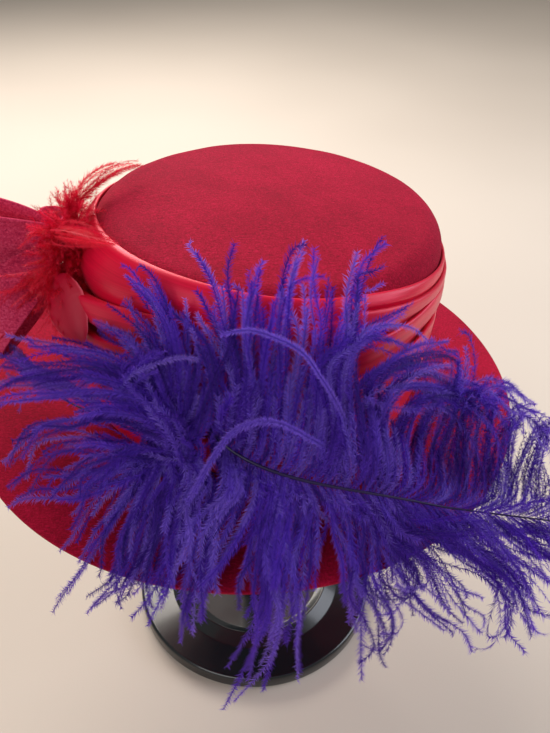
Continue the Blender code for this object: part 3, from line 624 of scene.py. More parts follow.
def makeBowLoop(name, loop):
    heading, climb, roll = (math.radians(loop[key]) for key in ("heading", "climb", "roll"))
    ahead = Vector((math.cos(heading) * math.cos(climb), math.sin(heading) * math.cos(climb), math.sin(climb)))
    level = Vector((-math.sin(heading), math.cos(heading), 0.0))
    upright = ahead.cross(level)
    wide = upright * math.cos(roll) + level * math.sin(roll)
    thick = level * math.cos(roll) - upright * math.sin(roll)
    halfLength, halfDepth = loop["length"] / 2, loop["depth"] / 2
    begin = halfLength * (1.0 - math.cos(math.radians(bow["open"])))
    grid = []
    for i in range(bow["steps"] + 1):
        turn = math.radians(bow["open"] + (360.0 - 2 * bow["open"]) * i / bow["steps"])
        opened = math.sin(turn / 2)
        along = halfLength * (1.0 - math.cos(turn))
        aside = halfDepth * math.sin(turn) * (bow["neck"] + (1.0 - bow["neck"]) * opened)
        outward = (ahead * -halfDepth * math.cos(turn) + thick * halfLength * math.sin(turn)).normalized()
        if outward.dot(ahead * (along - halfLength) + thick * aside) < 0.0:
            outward.negate()
        width = loop["width"] / 2 * (bow["pinch"] + (1.0 - bow["pinch"]) * opened)
        middle = Vector(bow["knot"]) + ahead * (loop["start"] + along - begin) + thick * aside
        row = []
        for j in range(bow["across"] + 1):
            share = 2.0 * j / bow["across"] - 1.0
            sag = noise.noise(Vector((i * 0.07, share * 1.1, loop["length"] * 90.0))) * bow["sag"] * opened
            cup = bow["cup"] * (1.0 - opened) * math.cos(share * math.pi * 1.5)
            row.append(tuple(middle + wide * (width * share) + outward * (sag + cup)))
        grid.append(row)
    world = toWorld(np.array(grid))
    strip = bmesh.new()
    verts = [[strip.verts.new(spot) for spot in row] for row in world]
    for low, high in zip(verts, verts[1:]):
        for j in range(bow["across"]):
            strip.faces.new((low[j], low[j + 1], high[j + 1], high[j]))
    bmesh.ops.recalc_face_normals(strip, faces=strip.faces[:])
    area = sum(face.calc_area() for face in strip.faces)
    piece = addShape(name, strip)
    applyModifier(piece, "SOLIDIFY", {"thickness": bow["felt"], "offset": 0.0, "use_even_offset": True})
    applyModifier(piece, "BEVEL", {"width": bow["edge"], "segments": 2, "limit_method": "ANGLE",
                                   "angle_limit": math.radians(60)})
    smooth(piece, 60.0)
    finishPiece(piece, bowFeltPaintedLight, [loop["node"]])


deselectAll()
bpy.ops.mesh.primitive_uv_sphere_add(segments=40, ring_count=28, radius=1.0, location=(0, 0, 0))
knotPiece = bpy.context.object
knotPiece.name = knotPiece.data.name = "bowKnot"
setPlace(knotPiece, Matrix.Diagonal((*bow["knotHalf"], 1.0)))
folds = bpy.data.textures.new("wrapFolds", "WOOD")
folds.wood_type = "BANDNOISE"
folds.noise_scale = bow["foldSize"]
folds.turbulence = bow["foldTwist"]
applyModifier(knotPiece, "DISPLACE", {"texture": folds, "strength": bow["folds"], "mid_level": 0.9,
                                      "texture_coords": "LOCAL"})
applyModifier(knotPiece, "SUBSURF", {"levels": 1, "render_levels": 1})
facing = Matrix.Rotation(math.radians(bow["faces"]), 4, "Z")
setPlace(knotPiece, hatMatrix @ Matrix.Translation(bow["knot"]) @ facing)
smooth(knotPiece, 60.0)
finishPiece(knotPiece, bowFeltPaintedLight, ["bow_knot"])
for name, loop in bow["loops"].items():
    makeBowLoop(name, loop)
print("bow made")


# Red feathers at the bow

hackle, tree, shader = newMaterial("dyedHackle")
# Dyed cock and goose feathers: scarlet where light comes through the thin barbs, with a soft gloss
tone = (addNode(tree, "ShaderNodeAttribute", {"attribute_name": "barbTone"}), "Fac")
barbColour = addRamp(tree, tone, (0.0, "#CC0838"), (1.0, "#FF4064"), (0.5, "#EE1A46"))
setInputs(tree, shader, {
    "Base Color": barbColour,
    "Roughness": 0.48,
    "Specular IOR Level": 0.40,
    "Sheen Weight": 0.25,
    "Sheen Tint": toLinear("#FF5078"),
})
letLightThrough(tree, shader, barbColour, 0.55)
redKind = (hackle, "red_feather")

# The red feathers: places in the hat's own frame
redLook = {"spacing": 0.00040, "barbule": 0.0060, "faceUp": 0.6, "tilt": 0.5, "roll": 0.7, "splay": 30.0,
           "droop": 0.06, "shaft": 0.00040, "fillAt": (0.0, 0.2, 0.6, 1.0), "fill": (0.55, 1.0, 0.85, 0.45)}
tuft = {
    "head": 0.0040, "scatter": 0.0028, "bend": 0.42, "sink": 0.16, "steps": 15,
    # Where the down is bound in over the wrap: how many barbs, how long, how wide a fan, which way, from where
    "fluff": (
        (120, (0.006, 0.013), 50.0, (0.00, -0.60, 0.80), (-0.1050, -0.0310, 0.1000)),
        (220, (0.007, 0.016), 56.0, (0.35, -0.70, 0.60), (-0.1000, -0.0300, 0.0980)),
        (150, (0.005, 0.012), 42.0, (0.05, -0.10, 0.98), (-0.1010, -0.0260, 0.1050)),
        (210, (0.008, 0.016), 58.0, (0.10, -0.85, 0.30), (-0.1030, -0.0340, 0.0920)),
        (190, (0.007, 0.016), 50.0, (0.10, -0.85, -0.30), (-0.1040, -0.0400, 0.0830)),
        (34, (0.014, 0.030), 30.0, (-0.75, -0.50, -0.42), (-0.1080, -0.0370, 0.0830)),
        (70, (0.010, 0.020), 34.0, (0.10, -0.70, -0.60), (-0.1020, -0.0420, 0.0800)),
    ),
}
coque = {"root": (-0.10500, -0.02700, 0.10466), "via": (-0.09700, -0.01165, 0.13137),
         "tip": (-0.0715, 0.01826, 0.11888), "barbs": 15, "spread": 0.0028}
pointed = {"root": (-0.10691, -0.03575, 0.10157), "via": (-0.09515, -0.06198, 0.11676),
           "tip": (-0.07293, -0.07186, 0.11931), "barbs": 34, "spread": 0.0030}
petal = {"root": (-0.10550, -0.04900, 0.08700), "via": (-0.10400, -0.06300, 0.07700),
         "tip": (-0.08900, -0.07250, 0.06500), "width": 0.024, "length": 0.050, "thick": 0.0005,
         "shape": (0.45, 0.72, 0.90, 0.99, 1.00, 0.97, 0.88, 0.72, 0.50, 0.22),     # half width from root to tip
         "steps": 40, "across": 14, "roundFrom": 0.9, "cup": 0.0030, "cupAt": 0.0095, "ragged": 0.03}


def hacklePaths(count, lengths, fan, aim, centre, rng):
    # Quills that leave the bound head in a fan and bend over at their tips
    aim = Vector(aim).normalized()
    paths = []
    for _ in range(count):
        swing = Vector(rng.normal(0.0, 1.0, 3)).normalized()
        way = (aim + swing * math.tan(math.radians(fan)) * rng.uniform(0.2, 1.0)).normalized()
        length = rng.uniform(*lengths)
        bend = Vector(rng.normal(0.0, 1.0, 3)).normalized() * tuft["bend"] - Vector((0.0, 0.0, tuft["sink"]))
        start = Vector(centre) + way * tuft["head"] + Vector(rng.normal(0.0, tuft["scatter"], 3))
        shares = [i / tuft["steps"] for i in range(tuft["steps"] + 1)]
        line = [start + way * length * share + bend * length * share ** 2 for share in shares]
        paths.append(toWorld(np.array([tuple(spot) for spot in line])))
    return paths


def bladePaths(blade, rng):
    # Long barbs that run beside the quill, from the root to the tip
    paths = []
    for _ in range(blade["barbs"]):
        away = rng.normal(0.0, blade["spread"], 3)
        line = []
        for share in np.linspace(0.0, rng.uniform(0.45, 1.0), 22):
            spot = bezierAt((blade["root"], blade["via"], blade["tip"]), share)
            line.append(spot + away * math.sin(math.pi * min(share * 0.85 + 0.1, 1.0)))
        paths.append(toWorld(np.array(line)))
    return paths


rng = np.random.default_rng(7)
paths = []
for patch in tuft["fluff"]:
    paths += hacklePaths(*patch, rng)
downLook = {**redLook, "spacing": 0.00030, "barbule": 0.0042, "splay": 32.0, "roll": 0.9, "shaft": 0.00008}
addFeatherPiece("redHackleTuft", paths, downLook, 11, redKind, "red_hackle_tuft")
coqueLook = {**redLook, "splay": 24.0, "barbule": 0.0056, "roll": 0.5, "spacing": 0.0005}
addFeatherPiece("longCoqueFeather", bladePaths(coque, rng), coqueLook, 12, redKind, "long_coque_feather")
pointedLook = {**redLook, "splay": 18.0, "barbule": 0.0060, "roll": 0.35}
addFeatherPiece("pointedFeather", bladePaths(pointed, rng), pointedLook, 13, redKind, "pointed_feather")

goose, tree, shader = newMaterial("dyedGoose")
# A stiff goose feather: smooth, glossy, with the fine slanting lines of its barbs and a pale edge
vaneMap = (addNode(tree, "ShaderNodeUVMap", {"uv_map": "vane"}), "UV")
slant = addNode(tree, "ShaderNodeMapping", inputs={"Vector": vaneMap, "Rotation": (0.0, 0.0, 0.9)})
barbLines = addNode(tree, "ShaderNodeTexWave", {"bands_direction": "X"},
                    {"Vector": (slant, "Vector"), "Scale": 620.0, "Distortion": 1.5})
edge = (addNode(tree, "ShaderNodeAttribute", {"attribute_name": "outward"}), "Fac")
setInputs(tree, shader, {
    "Base Color": addRamp(tree, edge, (0.0, "#B60A32"), (1.0, "#EE6078"), (0.90, "#C80E3A")),
    "Roughness": 0.42,
    "Specular IOR Level": 0.30,
    "Normal": addBump(tree, (barbLines, "Fac"), 0.25, 0.0002),
})


def petalAt(share):
    return Vector(bezierAt((petal["root"], petal["via"], petal["tip"]), share))


vane = bmesh.new()
uvLayer = vane.loops.layers.uv.new("vane")
edgeLayer = vane.verts.layers.float.new("outward")
vaneRows = []
for i in range(petal["steps"] + 1):
    share = i / petal["steps"]
    centre = petalAt(share)
    ahead = (petalAt(min(share + 0.02, 1.0)) - petalAt(max(share - 0.02, 0.0))).normalized()
    away = Vector((centre.x, centre.y, 0.0)).normalized() * 0.7 + Vector((0.0, -0.35, 0.5))
    wide = ahead.cross(away).normalized()
    square = wide.cross(ahead)
    half = petal["width"] / 2 * float(np.interp(share * 9, range(10), petal["shape"]))
    if share > petal["roundFrom"]:
        half *= math.sqrt(max(1.0 - ((share - petal["roundFrom"]) / (1.0 - petal["roundFrom"])) ** 2, 0.02))
    row = []
    for j in range(petal["across"] + 1):
        side = 2.0 * j / petal["across"] - 1.0
        ragged = 1.0 + petal["ragged"] * noise.noise(Vector((share * 22.0, side * 2.0, 0.5)))
        cup = petal["cup"] * side ** 2 * (half / petal["cupAt"])
        vert = vane.verts.new(toWorld(centre + wide * half * side * ragged - square * cup))
        vert[edgeLayer] = abs(side)
        row.append(vert)
    vaneRows.append(row)
for i, (low, high) in enumerate(zip(vaneRows, vaneRows[1:])):
    for j in range(petal["across"]):
        face = vane.faces.new((low[j], low[j + 1], high[j + 1], high[j]))
        for loop, (u, v) in zip(face.loops, ((j, i), (j + 1, i), (j + 1, i + 1), (j, i + 1))):
            aside = abs(2 * u / petal["across"] - 1) * petal["cupAt"]
            loop[uvLayer].uv = (aside, v / petal["steps"] * petal["length"])
petalPiece = addShape("petalFeather", vane)
applyModifier(petalPiece, "SOLIDIFY", {"thickness": petal["thick"], "offset": 0.0})
smooth(petalPiece, 60.0)
finishPiece(petalPiece, goose, ["petal_feather"])
print("red feathers made")


# Stand

gloss, tree, shader = newMaterial("blackPlastic")
# Moulded black plastic: deep gloss, fine handling marks in the reflections. The trace of blue in its base colour
# is painted reflection, for the teal that the stand reflects.
marks = addNoise(tree, (addNode(tree, "ShaderNodeTexCoord"), "Object"), 55.0, 4.0)
rough = addNode(tree, "ShaderNodeMapRange", inputs={"Value": marks, "To Min": 0.16, "To Max": 0.30})
setInputs(tree, shader, {
    # Near black with a trace of blue-green: painted reflection
    "Base Color": toLinear("#0A1218"),
    "Roughness": (rough, "Result"),
    "Coat Weight": 0.35,
    "Coat Roughness": 0.10,
})

stand = {
    "baseRadius": 0.0875, "baseHeight": 0.0113, "baseEdge": 0.0025,
    "collarOuter": 0.0631, "collarInner": 0.0546, "collarHeight": 0.0054,
    "collarRound": 0.0014, "collarFoot": 0.0012,
    "dishDepth": 0.0030, "dishSlope": 0.0050, "dishFoot": 0.0010,
    "post": 0.0090, "gap": 0.0003,
    "socketWall": 0.0050, "socketHeight": 0.0120, "socketDepth": 0.0100,
    "socketRound": 0.0010, "socketFoot": 0.0008,
    "restRadius": 0.0400, "restCurve": 0.0800, "restRim": 0.0040, "restRound": 0.0012, "restFoot": 0.0006,
    "underside": 0.0400, "nearAxis": 0.0008, "sharp": 0.0004,   # where the outlines start, and their small edges
}
crest = stand["baseHeight"] + stand["collarHeight"]
dish = crest - stand["dishDepth"]
bore = stand["post"] + stand["gap"]
socket = bore + stand["socketWall"]
socketTop = dish + stand["socketHeight"]
postFoot = socketTop - stand["socketDepth"]
sharp, nearAxis = stand["sharp"], stand["nearAxis"]


def cornerRows(centreRadius, centreHeight, radius, start, stop, steps):
    # A rounded edge from one angle to another, measured from straight out
    turns = [math.radians(start + (stop - start) * i / steps) for i in range(steps + 1)]
    return [(centreRadius + radius * math.cos(turn), centreHeight + radius * math.sin(turn)) for turn in turns]


def addStandPiece(name, sides, profile, node):
    rows = [(float(radius), float(radius), float(height)) for radius, height in profile]
    piece = ringShell(name, sides, rows, closeTop=True, closeFoot=True)
    smooth(piece, 32.0)
    finishPiece(piece, gloss, [node])


edge, slope, rounding = stand["baseEdge"], stand["collarInner"] - stand["dishSlope"], stand["collarRound"]
profile = [(nearAxis, 0.0), (stand["underside"], 0.0)]
profile += cornerRows(stand["baseRadius"] - edge, edge, edge, -90, 0, 5)
profile += cornerRows(stand["baseRadius"] - edge, stand["baseHeight"] - edge, edge, 0, 90, 5)
profile += [(stand["collarOuter"] + stand["collarFoot"], stand["baseHeight"]),
            (stand["collarOuter"], stand["baseHeight"] + sharp)]
profile += cornerRows(stand["collarInner"], crest - rounding, rounding, 60, 120, 4)
profile += [(slope, dish + sharp / 2), (slope - stand["dishFoot"], dish)]
profile += [(socket + stand["socketFoot"], dish), (socket, dish + stand["socketFoot"])]
rounding = stand["socketRound"]
profile += cornerRows(socket - rounding, socketTop - rounding, rounding, 0, 90, 3)
profile += [(bore + sharp, socketTop), (bore, socketTop - sharp), (bore, postFoot), (nearAxis, postFoot)]
addStandPiece("standBase", 128, profile, "stand_base")

# The cap carries the crown's tip from inside, and its place follows from the hat's
upright = math.cos(math.radians(hat["leanSide"])) * math.cos(math.radians(hat["leanFront"]))
tipInside = hat["crownHeight"] + crown["dome"] - hat["felt"]
capCentre = hat["level"] + (tipInside - stand["gap"] - stand["restCurve"]) / upright
capFoot = capCentre + math.sqrt(stand["restCurve"] ** 2 - stand["restRadius"] ** 2) - stand["restRim"]
hubFoot = capFoot - stand["socketHeight"]
foot = postFoot + stand["gap"]
profile = [(nearAxis, foot), (stand["post"] - sharp, foot), (stand["post"], foot + sharp)]
profile += [(stand["post"], postFoot + (capFoot - postFoot) * i / 12) for i in range(1, 12)]
profile += [(stand["post"], capFoot - sharp), (stand["post"] - sharp, capFoot)]
addStandPiece("standPost", 64, profile, "stand_post")

capInside = capFoot + stand["gap"]
profile = [(nearAxis, capInside), (bore, capInside), (bore, hubFoot + sharp), (bore + sharp, hubFoot)]
profile += cornerRows(socket - rounding, hubFoot + rounding, rounding, -90, 0, 3)
profile += [(socket, capFoot - stand["restFoot"]), (socket + stand["restFoot"], capFoot)]
rounding = stand["restRound"]
profile += cornerRows(stand["restRadius"] - rounding, capFoot + rounding, rounding, -90, 0, 3)
spread = math.asin(stand["restRadius"] / stand["restCurve"])
for share in np.linspace(1.0, 0.04, 14):
    profile.append((stand["restCurve"] * math.sin(spread * share),
                    capCentre + stand["restCurve"] * math.cos(spread * share)))
addStandPiece("standRest", 96, profile, "stand_rest")
print("stand made")


# Plumes

ostrich, tree, shader = newMaterial("dyedOstrich")
# Dyed ostrich barbs: soft and matt, each barb a random tone from deep violet to pale blue-violet. Painted shade
# darkens each barb towards its axis and its shaft, as in the depth of the plume; the barbule tips stay lighter.
tone = (addNode(tree, "ShaderNodeAttribute", {"attribute_name": "barbTone"}), "Fac")
outward = (addNode(tree, "ShaderNodeAttribute", {"attribute_name": "outward"}), "Fac")
toneAndPaintedShade = (addNode(tree, "ShaderNodeMix", {"data_type": "RGBA", "blend_type": "MULTIPLY"}, {
    "Factor": 1.0,
    "A": addRamp(tree, tone, (0.0, "#5220A8"), (1.0, "#AC86FF"), (0.5, "#7C40EA")),
    # Painted shade: greyish violet at the barb's axis and shaft, fading to none at the barbule tips
    "B": addRamp(tree, outward, (0.0, "#A896CC"), (0.6, "#FFFFFF")),
}), "Result")
setInputs(tree, shader, {
    "Base Color": toneAndPaintedShade,
    "Roughness": 0.62,
    "Specular IOR Level": 0.30,
    "Sheen Weight": 0.30,
    "Sheen Tint": toLinear("#B496FF"),
})
letLightThrough(tree, shader, toneAndPaintedShade, 0.45)
plumeKind = (ostrich, "purple_ostrich_feather")

plumeLook = {"spacing": 0.00052, "barbule": 0.0040, "faceUp": 0.55, "tilt": 0.35, "roll": 0.45, "splay": 40.0,
             "droop": 0.10, "shaft": 0.00022,
             "fillAt": (0.0, 0.06, 0.22, 0.85, 1.0), "fill": (0.20, 0.35, 0.85, 1.0, 0.75)}

# Each row is a lock of barbs: where it leaves the shaft, then its guide points, in hatSpot's columns
rightPlume = {
    "route": ((-106.0, 0.015, 0.40), (-86.8, 0.83, 0.353), (-58.8, 0.09, 0.20), (-39.5, 1.95, 0.235)),
    "upper": (
        (0.11, ((-99, .25, .58), (-103, .16, .74), (-109, .10, .83), (-115, .07, .89), (-122, .05, 1.00))),
        (0.16, ((-96, .22, .58), (-98, .16, .72), (-102, .10, .82), (-107, .08, .90), (-111, .05, .96))),
        (0.20, ((-95, .20, .62), (-99, .09, .85), (-101, .05, 1.00), (-104, .04, 1.11), (-104, .04, 1.15))),
        (0.23, ((-94, .18, .61), (-96, .09, .86), (-97, .06, 1.03), (-96, .05, 1.16))),
        (0.26, ((-91, .18, .62), (-92, .09, .86), (-93, .05, 1.02), (-93, .05, 1.19))),
        (0.30, ((-87, .18, .60), (-87, .09, .85), (-87, .06, 1.04), (-86, .05, 1.14), (-84, .05, 1.17),
                (-81, .06, 1.17))),
        (0.34, ((-83, .20, .58), (-82, .10, .81), (-84, .07, .95), (-85, .06, 1.06))),
        (0.40, ((-77, .22, .58), (-75, .12, .83), (-75, .07, .99), (-75, .05, 1.19))),
        (0.45, ((-73, .22, .57), (-71, .13, .80), (-72, .07, .99), (-72, .06, 1.15), (-71, .06, 1.25))),
        (0.47, ((-72, .22, .62), (-70, .12, .87), (-70, .08, 1.03), (-67, .08, 1.06), (-64, .10, 1.07))),
        (0.51, ((-75, .30, .56), (-76, .22, .75), (-71, .18, .82), (-65, .16, .85), (-56, .20, .80),
                (-48, .25, .72))),
        (0.54, ((-71, .32, .61), (-70, .22, .76), (-65, .18, .85), (-58, .16, .88), (-49, .15, .90))),
        (0.60, ((-65, .36, .49), (-66, .32, .67), (-59, .30, .72), (-46, .33, .67), (-39, .40, .55))),
        (0.62, ((-63, .40, .45), (-63, .40, .64), (-57, .42, .67), (-45, .49, .56), (-37, .69, .44),
                (-35, 1.00, .30))),
        (0.65, ((-56, .44, .35), (-54, .44, .55), (-44, .53, .52), (-38, .82, .38), (-37, 1.02, .26))),
        (0.68, ((-50, .48, .24), (-49, .47, .50), (-42, .55, .48), (-38, .80, .34))),
        (0.73, ((-46, .60, .20), (-45, .57, .46), (-42, .51, .62), (-41, .43, .70), (-45, .39, .74))),
        (0.77, ((-42, .74, .24), (-42, .65, .48), (-39, .69, .55), (-36, .91, .42), (-37, 1.09, .26))),
        (0.81, ((-41, .86, .26), (-40, .78, .48), (-39, .81, .56), (-36, 1.01, .50), (-33, 1.25, .42))),
        (0.84, ((-40, 1.02, .26), (-37, .95, .44), (-35, 1.07, .48), (-35, 1.37, .36))),
        (0.89, ((-39, 1.25, .26), (-34, 1.19, .42), (-34, 1.33, .46), (-34, 1.57, .36))),
        (0.95, ((-39, 1.55, .28), (-35, 1.50, .42), (-34, 1.65, .44), (-34, 1.90, .32)))),
    "lower": (
        (0.18, ((-94, .62, .34), (-96, .75, .26), (-97, .92, .20), (-97, 1.10, .01))),
        (0.23, ((-93, .62, .28), (-95, .75, .23), (-96, .95, .15), (-97, 1.10, -.05), (-97, 1.13, -.19))),
        (0.27, ((-89, .62, .28), (-91, .80, .17), (-94, .98, .09), (-95, 1.08, .00), (-94, 1.13, -.20))),
        (0.33, ((-86, .72, .23), (-87, .92, .14), (-87, 1.08, -.05), (-89, 1.13, -.31), (-93, 1.17, -.60))),
        (0.35, ((-84, .60, .26), (-86, .70, .21), (-87, .86, .15), (-87, 1.02, .07), (-87, 1.09, -.11),
                (-90, 1.15, -.45))),
        (0.37, ((-83, .59, .25), (-83, .72, .18), (-84, .93, .11), (-84, 1.04, .03), (-83, 1.09, -.12),
                (-79, 1.14, -.44))),
        (0.40, ((-80, .66, .17), (-82, .87, .10), (-82, 1.05, .00), (-82, 1.12, -.31), (-83, 1.16, -.58))),
        (0.42, ((-77, .66, .17), (-79, .86, .10), (-80, 1.05, .00), (-80, 1.11, -.26), (-77, 1.16, -.58))),
        (0.49, ((-72, .74, .15), (-72, .98, .07), (-71, 1.12, -.19), (-70, 1.20, -.43), (-69, 1.23, -.60))),
        (0.53, ((-68, .82, .13), (-69, 1.08, .01), (-65, 1.16, -.17), (-63, 1.20, -.38), (-65, 1.20, -.47),
                (-70, 1.19, -.36))),
        (0.57, ((-65, .84, .12), (-62, 1.02, .06), (-59, 1.12, -.06), (-62, 1.17, -.14), (-66, 1.15, -.04),
                (-69, 1.10, .05))),
        (0.60, ((-63, .93, .10), (-61, 1.09, -.06), (-57, 1.26, -.20), (-54, 1.48, -.30), (-53, 1.61, -.37))),
        (0.62, ((-63, .87, .18), (-59, 1.00, .06), (-56, 1.12, -.06), (-54, 1.31, -.20), (-52, 1.47, -.30),
                (-51, 1.61, -.38),
                (-52, 1.68, -.42))),
        (0.64, ((-61, .94, .18), (-56, 1.14, .19), (-50, 1.38, .22), (-44, 1.63, .24))),
        (0.67, ((-57, 1.14, .13), (-51, 1.44, .10), (-48, 1.74, .03), (-47, 1.93, -.03))),
        (0.71, ((-55, 1.25, .13), (-51, 1.56, .03), (-50, 1.73, -.08), (-52, 1.81, -.16), (-54, 1.77, -.18))),
        (0.75, ((-53, 1.37, .14), (-50, 1.65, .03), (-50, 1.82, -.08), (-50, 1.99, -.14), (-49, 2.09, -.10))),
        (0.81, ((-49, 1.51, .16), (-47, 1.79, .08), (-46, 2.02, .00))),
        (0.86, ((-47, 1.67, .18), (-44, 1.95, .12), (-44, 2.15, .05))),
        (0.94, ((-44, 1.85, .20), (-42, 2.05, .14), (-42, 2.18, .08)))),
    # Two long barbs that curl back over the others
    "curled": (
        (0.59, ((-69, .38, .42), (-74, .42, .63), (-79, .40, .78), (-84, .35, .89), (-93, .30, .94),
                (-100, .26, .89))),
        (0.53, ((-72, .42, .35), (-78, .47, .49), (-87, .50, .62), (-94, .55, .59), (-98, .62, .43),
                (-101, .75, .24)))),
}
leftPlume = {
    "route": ((-117.0, 0.0, 0.385), (-116.0, 0.25, 0.33), (-128.0, 0.34, 0.32), (-150.0, 0.46, 0.28)),
    "locks": (
        (0.10, ((-104, .42, .36), (-111, .49, .34), (-115, .56, .37), (-119, .66, .44), (-124, .77, .43),
                (-128, .90, .34),
                (-133, 1.02, .11))),
        (0.10, ((-104, .42, .33), (-111, .48, .33), (-114, .56, .35), (-118, .76, .30), (-120, .84, .22),
                (-122, .94, .12),
                (-123, 1.03, .02))),
        (0.08, ((-103, .45, .33), (-111, .50, .30), (-114, .62, .31), (-120, .78, .25), (-125, .90, .23),
                (-128, 1.02, .09))),
        (0.14, ((-106, .38, .41), (-112, .42, .44), (-120, .52, .50), (-125, .68, .48), (-130, .83, .42),
                (-134, 1.00, .22))),
        (0.22, ((-108, .33, .47), (-116, .37, .52), (-123, .48, .52), (-129, .64, .49), (-134, .84, .45),
                (-137, .92, .39))),
        (0.28, ((-110, .28, .49), (-117, .32, .56), (-126, .40, .59), (-133, .54, .56), (-139, .70, .49),
                (-142, .82, .42))),
        (0.32, ((-112, .22, .50), (-121, .27, .58), (-129, .33, .60), (-137, .44, .60), (-144, .60, .57),
                (-148, .72, .56))),
        (0.30, ((-113, .20, .51), (-121, .16, .66), (-128, .14, .67), (-137, .14, .63))),
        (0.26, ((-121, .34, .52), (-119, .32, .64), (-116, .30, .70), (-112, .28, .76), (-109, .26, .77))),
        (0.16, ((-111, .48, .31), (-111, .62, .27), (-111, .82, .18), (-112, .94, .12), (-114, 1.04, .00))),
        (0.14, ((-109, .48, .33), (-109, .72, .25), (-109, .92, .14), (-109, 1.06, .00), (-114, 1.10, -.30))),
        (0.12, ((-107, .48, .32), (-106, .68, .25), (-106, .88, .17), (-106, 1.04, .06), (-108, 1.09, -.07),
                (-112, 1.11, -.22))),
        (0.10, ((-105, .48, .33), (-104, .68, .26), (-104, .90, .17), (-104, 1.05, .05), (-103, 1.11, -.13))),
        (0.06, ((-101, .50, .34), (-101, .70, .24), (-101, .92, .16), (-101, 1.07, .02), (-103, 1.11, -.16))),
        (0.04, ((-100, .50, .34), (-99, .72, .23), (-99, .96, .14), (-100, 1.08, .02))),
        (0.08, ((-110, .22, .51), (-113, .14, .74), (-119, .09, .86), (-126, .07, .92), (-130, .07, .90))),
        (0.10, ((-110, .22, .51), (-115, .16, .70), (-121, .12, .75), (-129, .10, .76))),
        (0.06, ((-108, .30, .44), (-109, .22, .58), (-111, .14, .72), (-114, .09, .84))),
        (0.05, ((-106, .28, .45), (-105, .20, .60), (-106, .12, .74), (-108, .08, .86))),
        (0.04, ((-104, .34, .42), (-102, .24, .56), (-101, .15, .70), (-101, .09, .80))),
        (0.08, ((-108, .40, .38), (-110, .36, .48), (-114, .32, .57), (-119, .26, .64))),
        (0.05, ((-104, .44, .34), (-105, .42, .42), (-108, .40, .50), (-112, .38, .56))),
        (0.60, ((-132, .40, .42), (-140, .52, .44), (-150, .62, .36), (-158, .72, .26))),
        (0.85, ((-145, .48, .36), (-155, .56, .34), (-163, .66, .26), (-168, .76, .20)))),
}


# How barbs stray, in hatSpot's columns: a lock as a whole, each guide point, and the comb. The nearest reaches
# keep them clear of the band.
stray = {"whole": (3.2, 0.045, 0.045), "point": (0.7, 0.012, 0.012), "comb": (1.2, 0.02, 0.02),
         "nearest": 0.03, "combNearest": 0.05, "curl": 0.0022}


def lockPaths(lock, route, rng, samples=36):
    # Barbs that leave the shaft side by side and follow the lock's guide
    paths = []
    for i in range(lock["barbs"]):
        place = (i + rng.uniform(0, 1)) / lock["barbs"]
        root = bezierAt(route, np.clip(lock["at"] + lock["rootSpread"] * (place - 0.5) * 2, 0.01, 1.0))
        guide = np.array(lock["guide"], dtype=float)
        steps = np.linspace(0.0, 1.0, len(guide) + 1)[1:, None]
        drift = rng.normal(0.0, 1.0, 3) * np.array(stray["whole"]) * lock["spread"]
        slide = (root - bezierAt(route, lock["at"])) * (1.0 - steps) ** 1.5
        jitter = rng.normal(0.0, 1.0, guide.shape) * np.array(stray["point"]) * lock["spread"]
        guide = guide + drift * steps + slide + jitter
        guide[:, 1] = np.maximum(guide[:, 1], stray["nearest"])
        line = hatSpot(curveThrough(np.vstack([root, guide]), samples))
        along = np.linspace(0.0, 1.0, samples)[:, None]
        curl = rng.normal(0.0, lock.get("curl", stray["curl"]), 3) * along ** 2
        line = line + curl * np.sin(along * 7.0 + rng.uniform(0.0, 6.3))
        if i % 5 == 2 or lock["shortest"] > 0.9:        # only some barbs make the lock's tip
            kept = rng.uniform(0.92, 1.0)
        else:
            kept = rng.uniform(lock["shortest"], 0.82)
        paths.append(line[:max(int(round((samples - 1) * kept)) + 1, 8)])
    return paths


def combPaths(plume, rows, count, lengths, side, rng):
    # The even comb of barbs close to the shaft, turned towards the nearest lock's first point
    paths = []
    places = [place for place, guide in rows]
    near = [guide[0] for place, guide in rows]
    for i in range(count):
        at = 0.06 + 0.93 * (i + rng.uniform(0.2, 0.8)) / count
        root = bezierAt(plume["route"], at)
        forward = bezierAt(plume["route"], min(at + 0.03, 1.0)) - root
        target = np.array([np.interp(at, places, [spot[c] for spot in near]) for c in range(3)])
        reachOut = rng.uniform(*lengths)
        middle = root + forward * 0.9 + (target - root) * 0.35 * reachOut + np.array((0, 0.05, 0.02 * side))
        end = root + forward * 1.0 + (target - root) * reachOut + rng.normal(0, 1, 3) * np.array(stray["comb"])
        end[1] = max(end[1], stray["combNearest"])
        paths.append(hatSpot(curveThrough(np.vstack([root, middle, end]), 14)))
    return paths


def growLocks(plume, rows, settings, rng):
    paths = []
    for at, guide in rows:
        paths += lockPaths({"at": at, "guide": guide, **settings}, plume["route"], rng)
    return paths


quill, tree, shader = newMaterial("dyedQuill")
# The bare dark quill that the barbs leave
setInputs(tree, shader, {"Base Color": toLinear("#22104A"), "Roughness": 0.38})


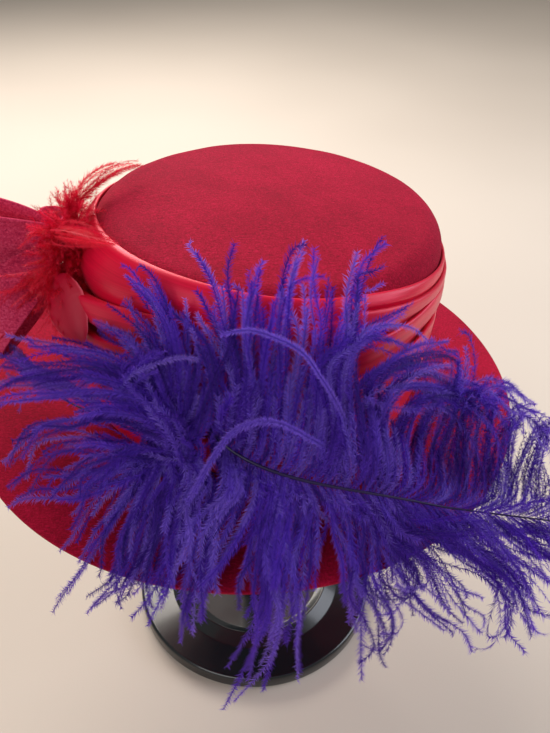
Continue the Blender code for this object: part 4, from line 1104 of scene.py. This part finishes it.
def addQuill(name, route, thick, node, sides=8, rings=60):
    # A tube along the shaft that thins towards its end
    line = hatSpot(np.array([bezierAt(route, share) for share in np.linspace(0.0, 1.0, rings)]))
    ahead = np.gradient(line, axis=0)
    ahead /= np.linalg.norm(ahead, axis=1)[:, None]
    aside = np.cross(ahead, (0.0, 0.0, 1.0))
    aside /= np.linalg.norm(aside, axis=1)[:, None]
    over = np.cross(aside, ahead)
    radius = (thick / 2 * (1.0 - 0.75 * np.linspace(0.0, 1.0, rings)))[:, None]
    corners = [line + (aside * math.cos(turn) + over * math.sin(turn)) * radius
               for turn in np.linspace(0.0, math.tau, sides, endpoint=False)]
    points = np.stack(corners, 1).reshape(-1, 3)
    triangles = []
    for i in range(rings - 1):
        for j in range(sides):
            a, b = i * sides + j, i * sides + (j + 1) % sides
            triangles += [(a, b, b + sides), (a, b + sides, a + sides)]
    foot, end = 0, (rings - 1) * sides
    for j in range(1, sides - 1):
        triangles += [(foot, foot + j + 1, foot + j), (end, end + j, end + j + 1)]
    piece = meshFromArrays(name, points, np.array(triangles), {})
    smooth(piece, 60.0)
    finishPiece(piece, quill, [node])


addQuill("rightPlumeQuill", rightPlume["route"], 0.0024, "ostrich_plume_right")
addQuill("leftPlumeQuill", leftPlume["route"], 0.0020, "ostrich_plume_left")

rng = np.random.default_rng(41)
paths = []
for row in rightPlume["upper"]:
    barbs = 8 if row[1][-1][1] < 0.2 else 18     # thinner where the plume stands before the band
    settings = {"barbs": barbs, "rootSpread": 0.035, "spread": 1.0, "shortest": 0.35}
    paths += growLocks(rightPlume, [row], settings, rng)
paths += combPaths(rightPlume, rightPlume["upper"], 170, (0.6, 1.5), 1.0, rng)
addFeatherPiece("rightPlumeUpper", paths, plumeLook, 1, plumeKind, "ostrich_plume_right")

settings = {"barbs": 12, "rootSpread": 0.035, "spread": 0.9, "shortest": 0.35}
paths = growLocks(rightPlume, rightPlume["lower"], settings, rng)
paths += combPaths(rightPlume, rightPlume["lower"], 130, (0.4, 1.1), -1.0, rng)
addFeatherPiece("rightPlumeLower", paths, plumeLook, 2, plumeKind, "ostrich_plume_right")

settings = {"barbs": 4, "rootSpread": 0.004, "spread": 0.10, "shortest": 0.97, "curl": 0.0006}
paths = growLocks(rightPlume, rightPlume["curled"], settings, rng)
# The curled barbs keep to the light end of the tone ramp: painted light, as they stand lit over the darker barbs
curledLookPaintedLight = {**plumeLook, "barbule": 0.0034, "paintedLightToneFrom": 0.7}
addFeatherPiece("rightPlumeCurled", paths, curledLookPaintedLight, 3, plumeKind, "ostrich_plume_right")

settings = {"barbs": 20, "rootSpread": 0.08, "spread": 1.0, "shortest": 0.40}
paths = growLocks(leftPlume, leftPlume["locks"], settings, rng)
addFeatherPiece("leftPlumeLocks", paths, {**plumeLook, "barbule": 0.0034}, 4, plumeKind, "ostrich_plume_left")
print("plumes made")
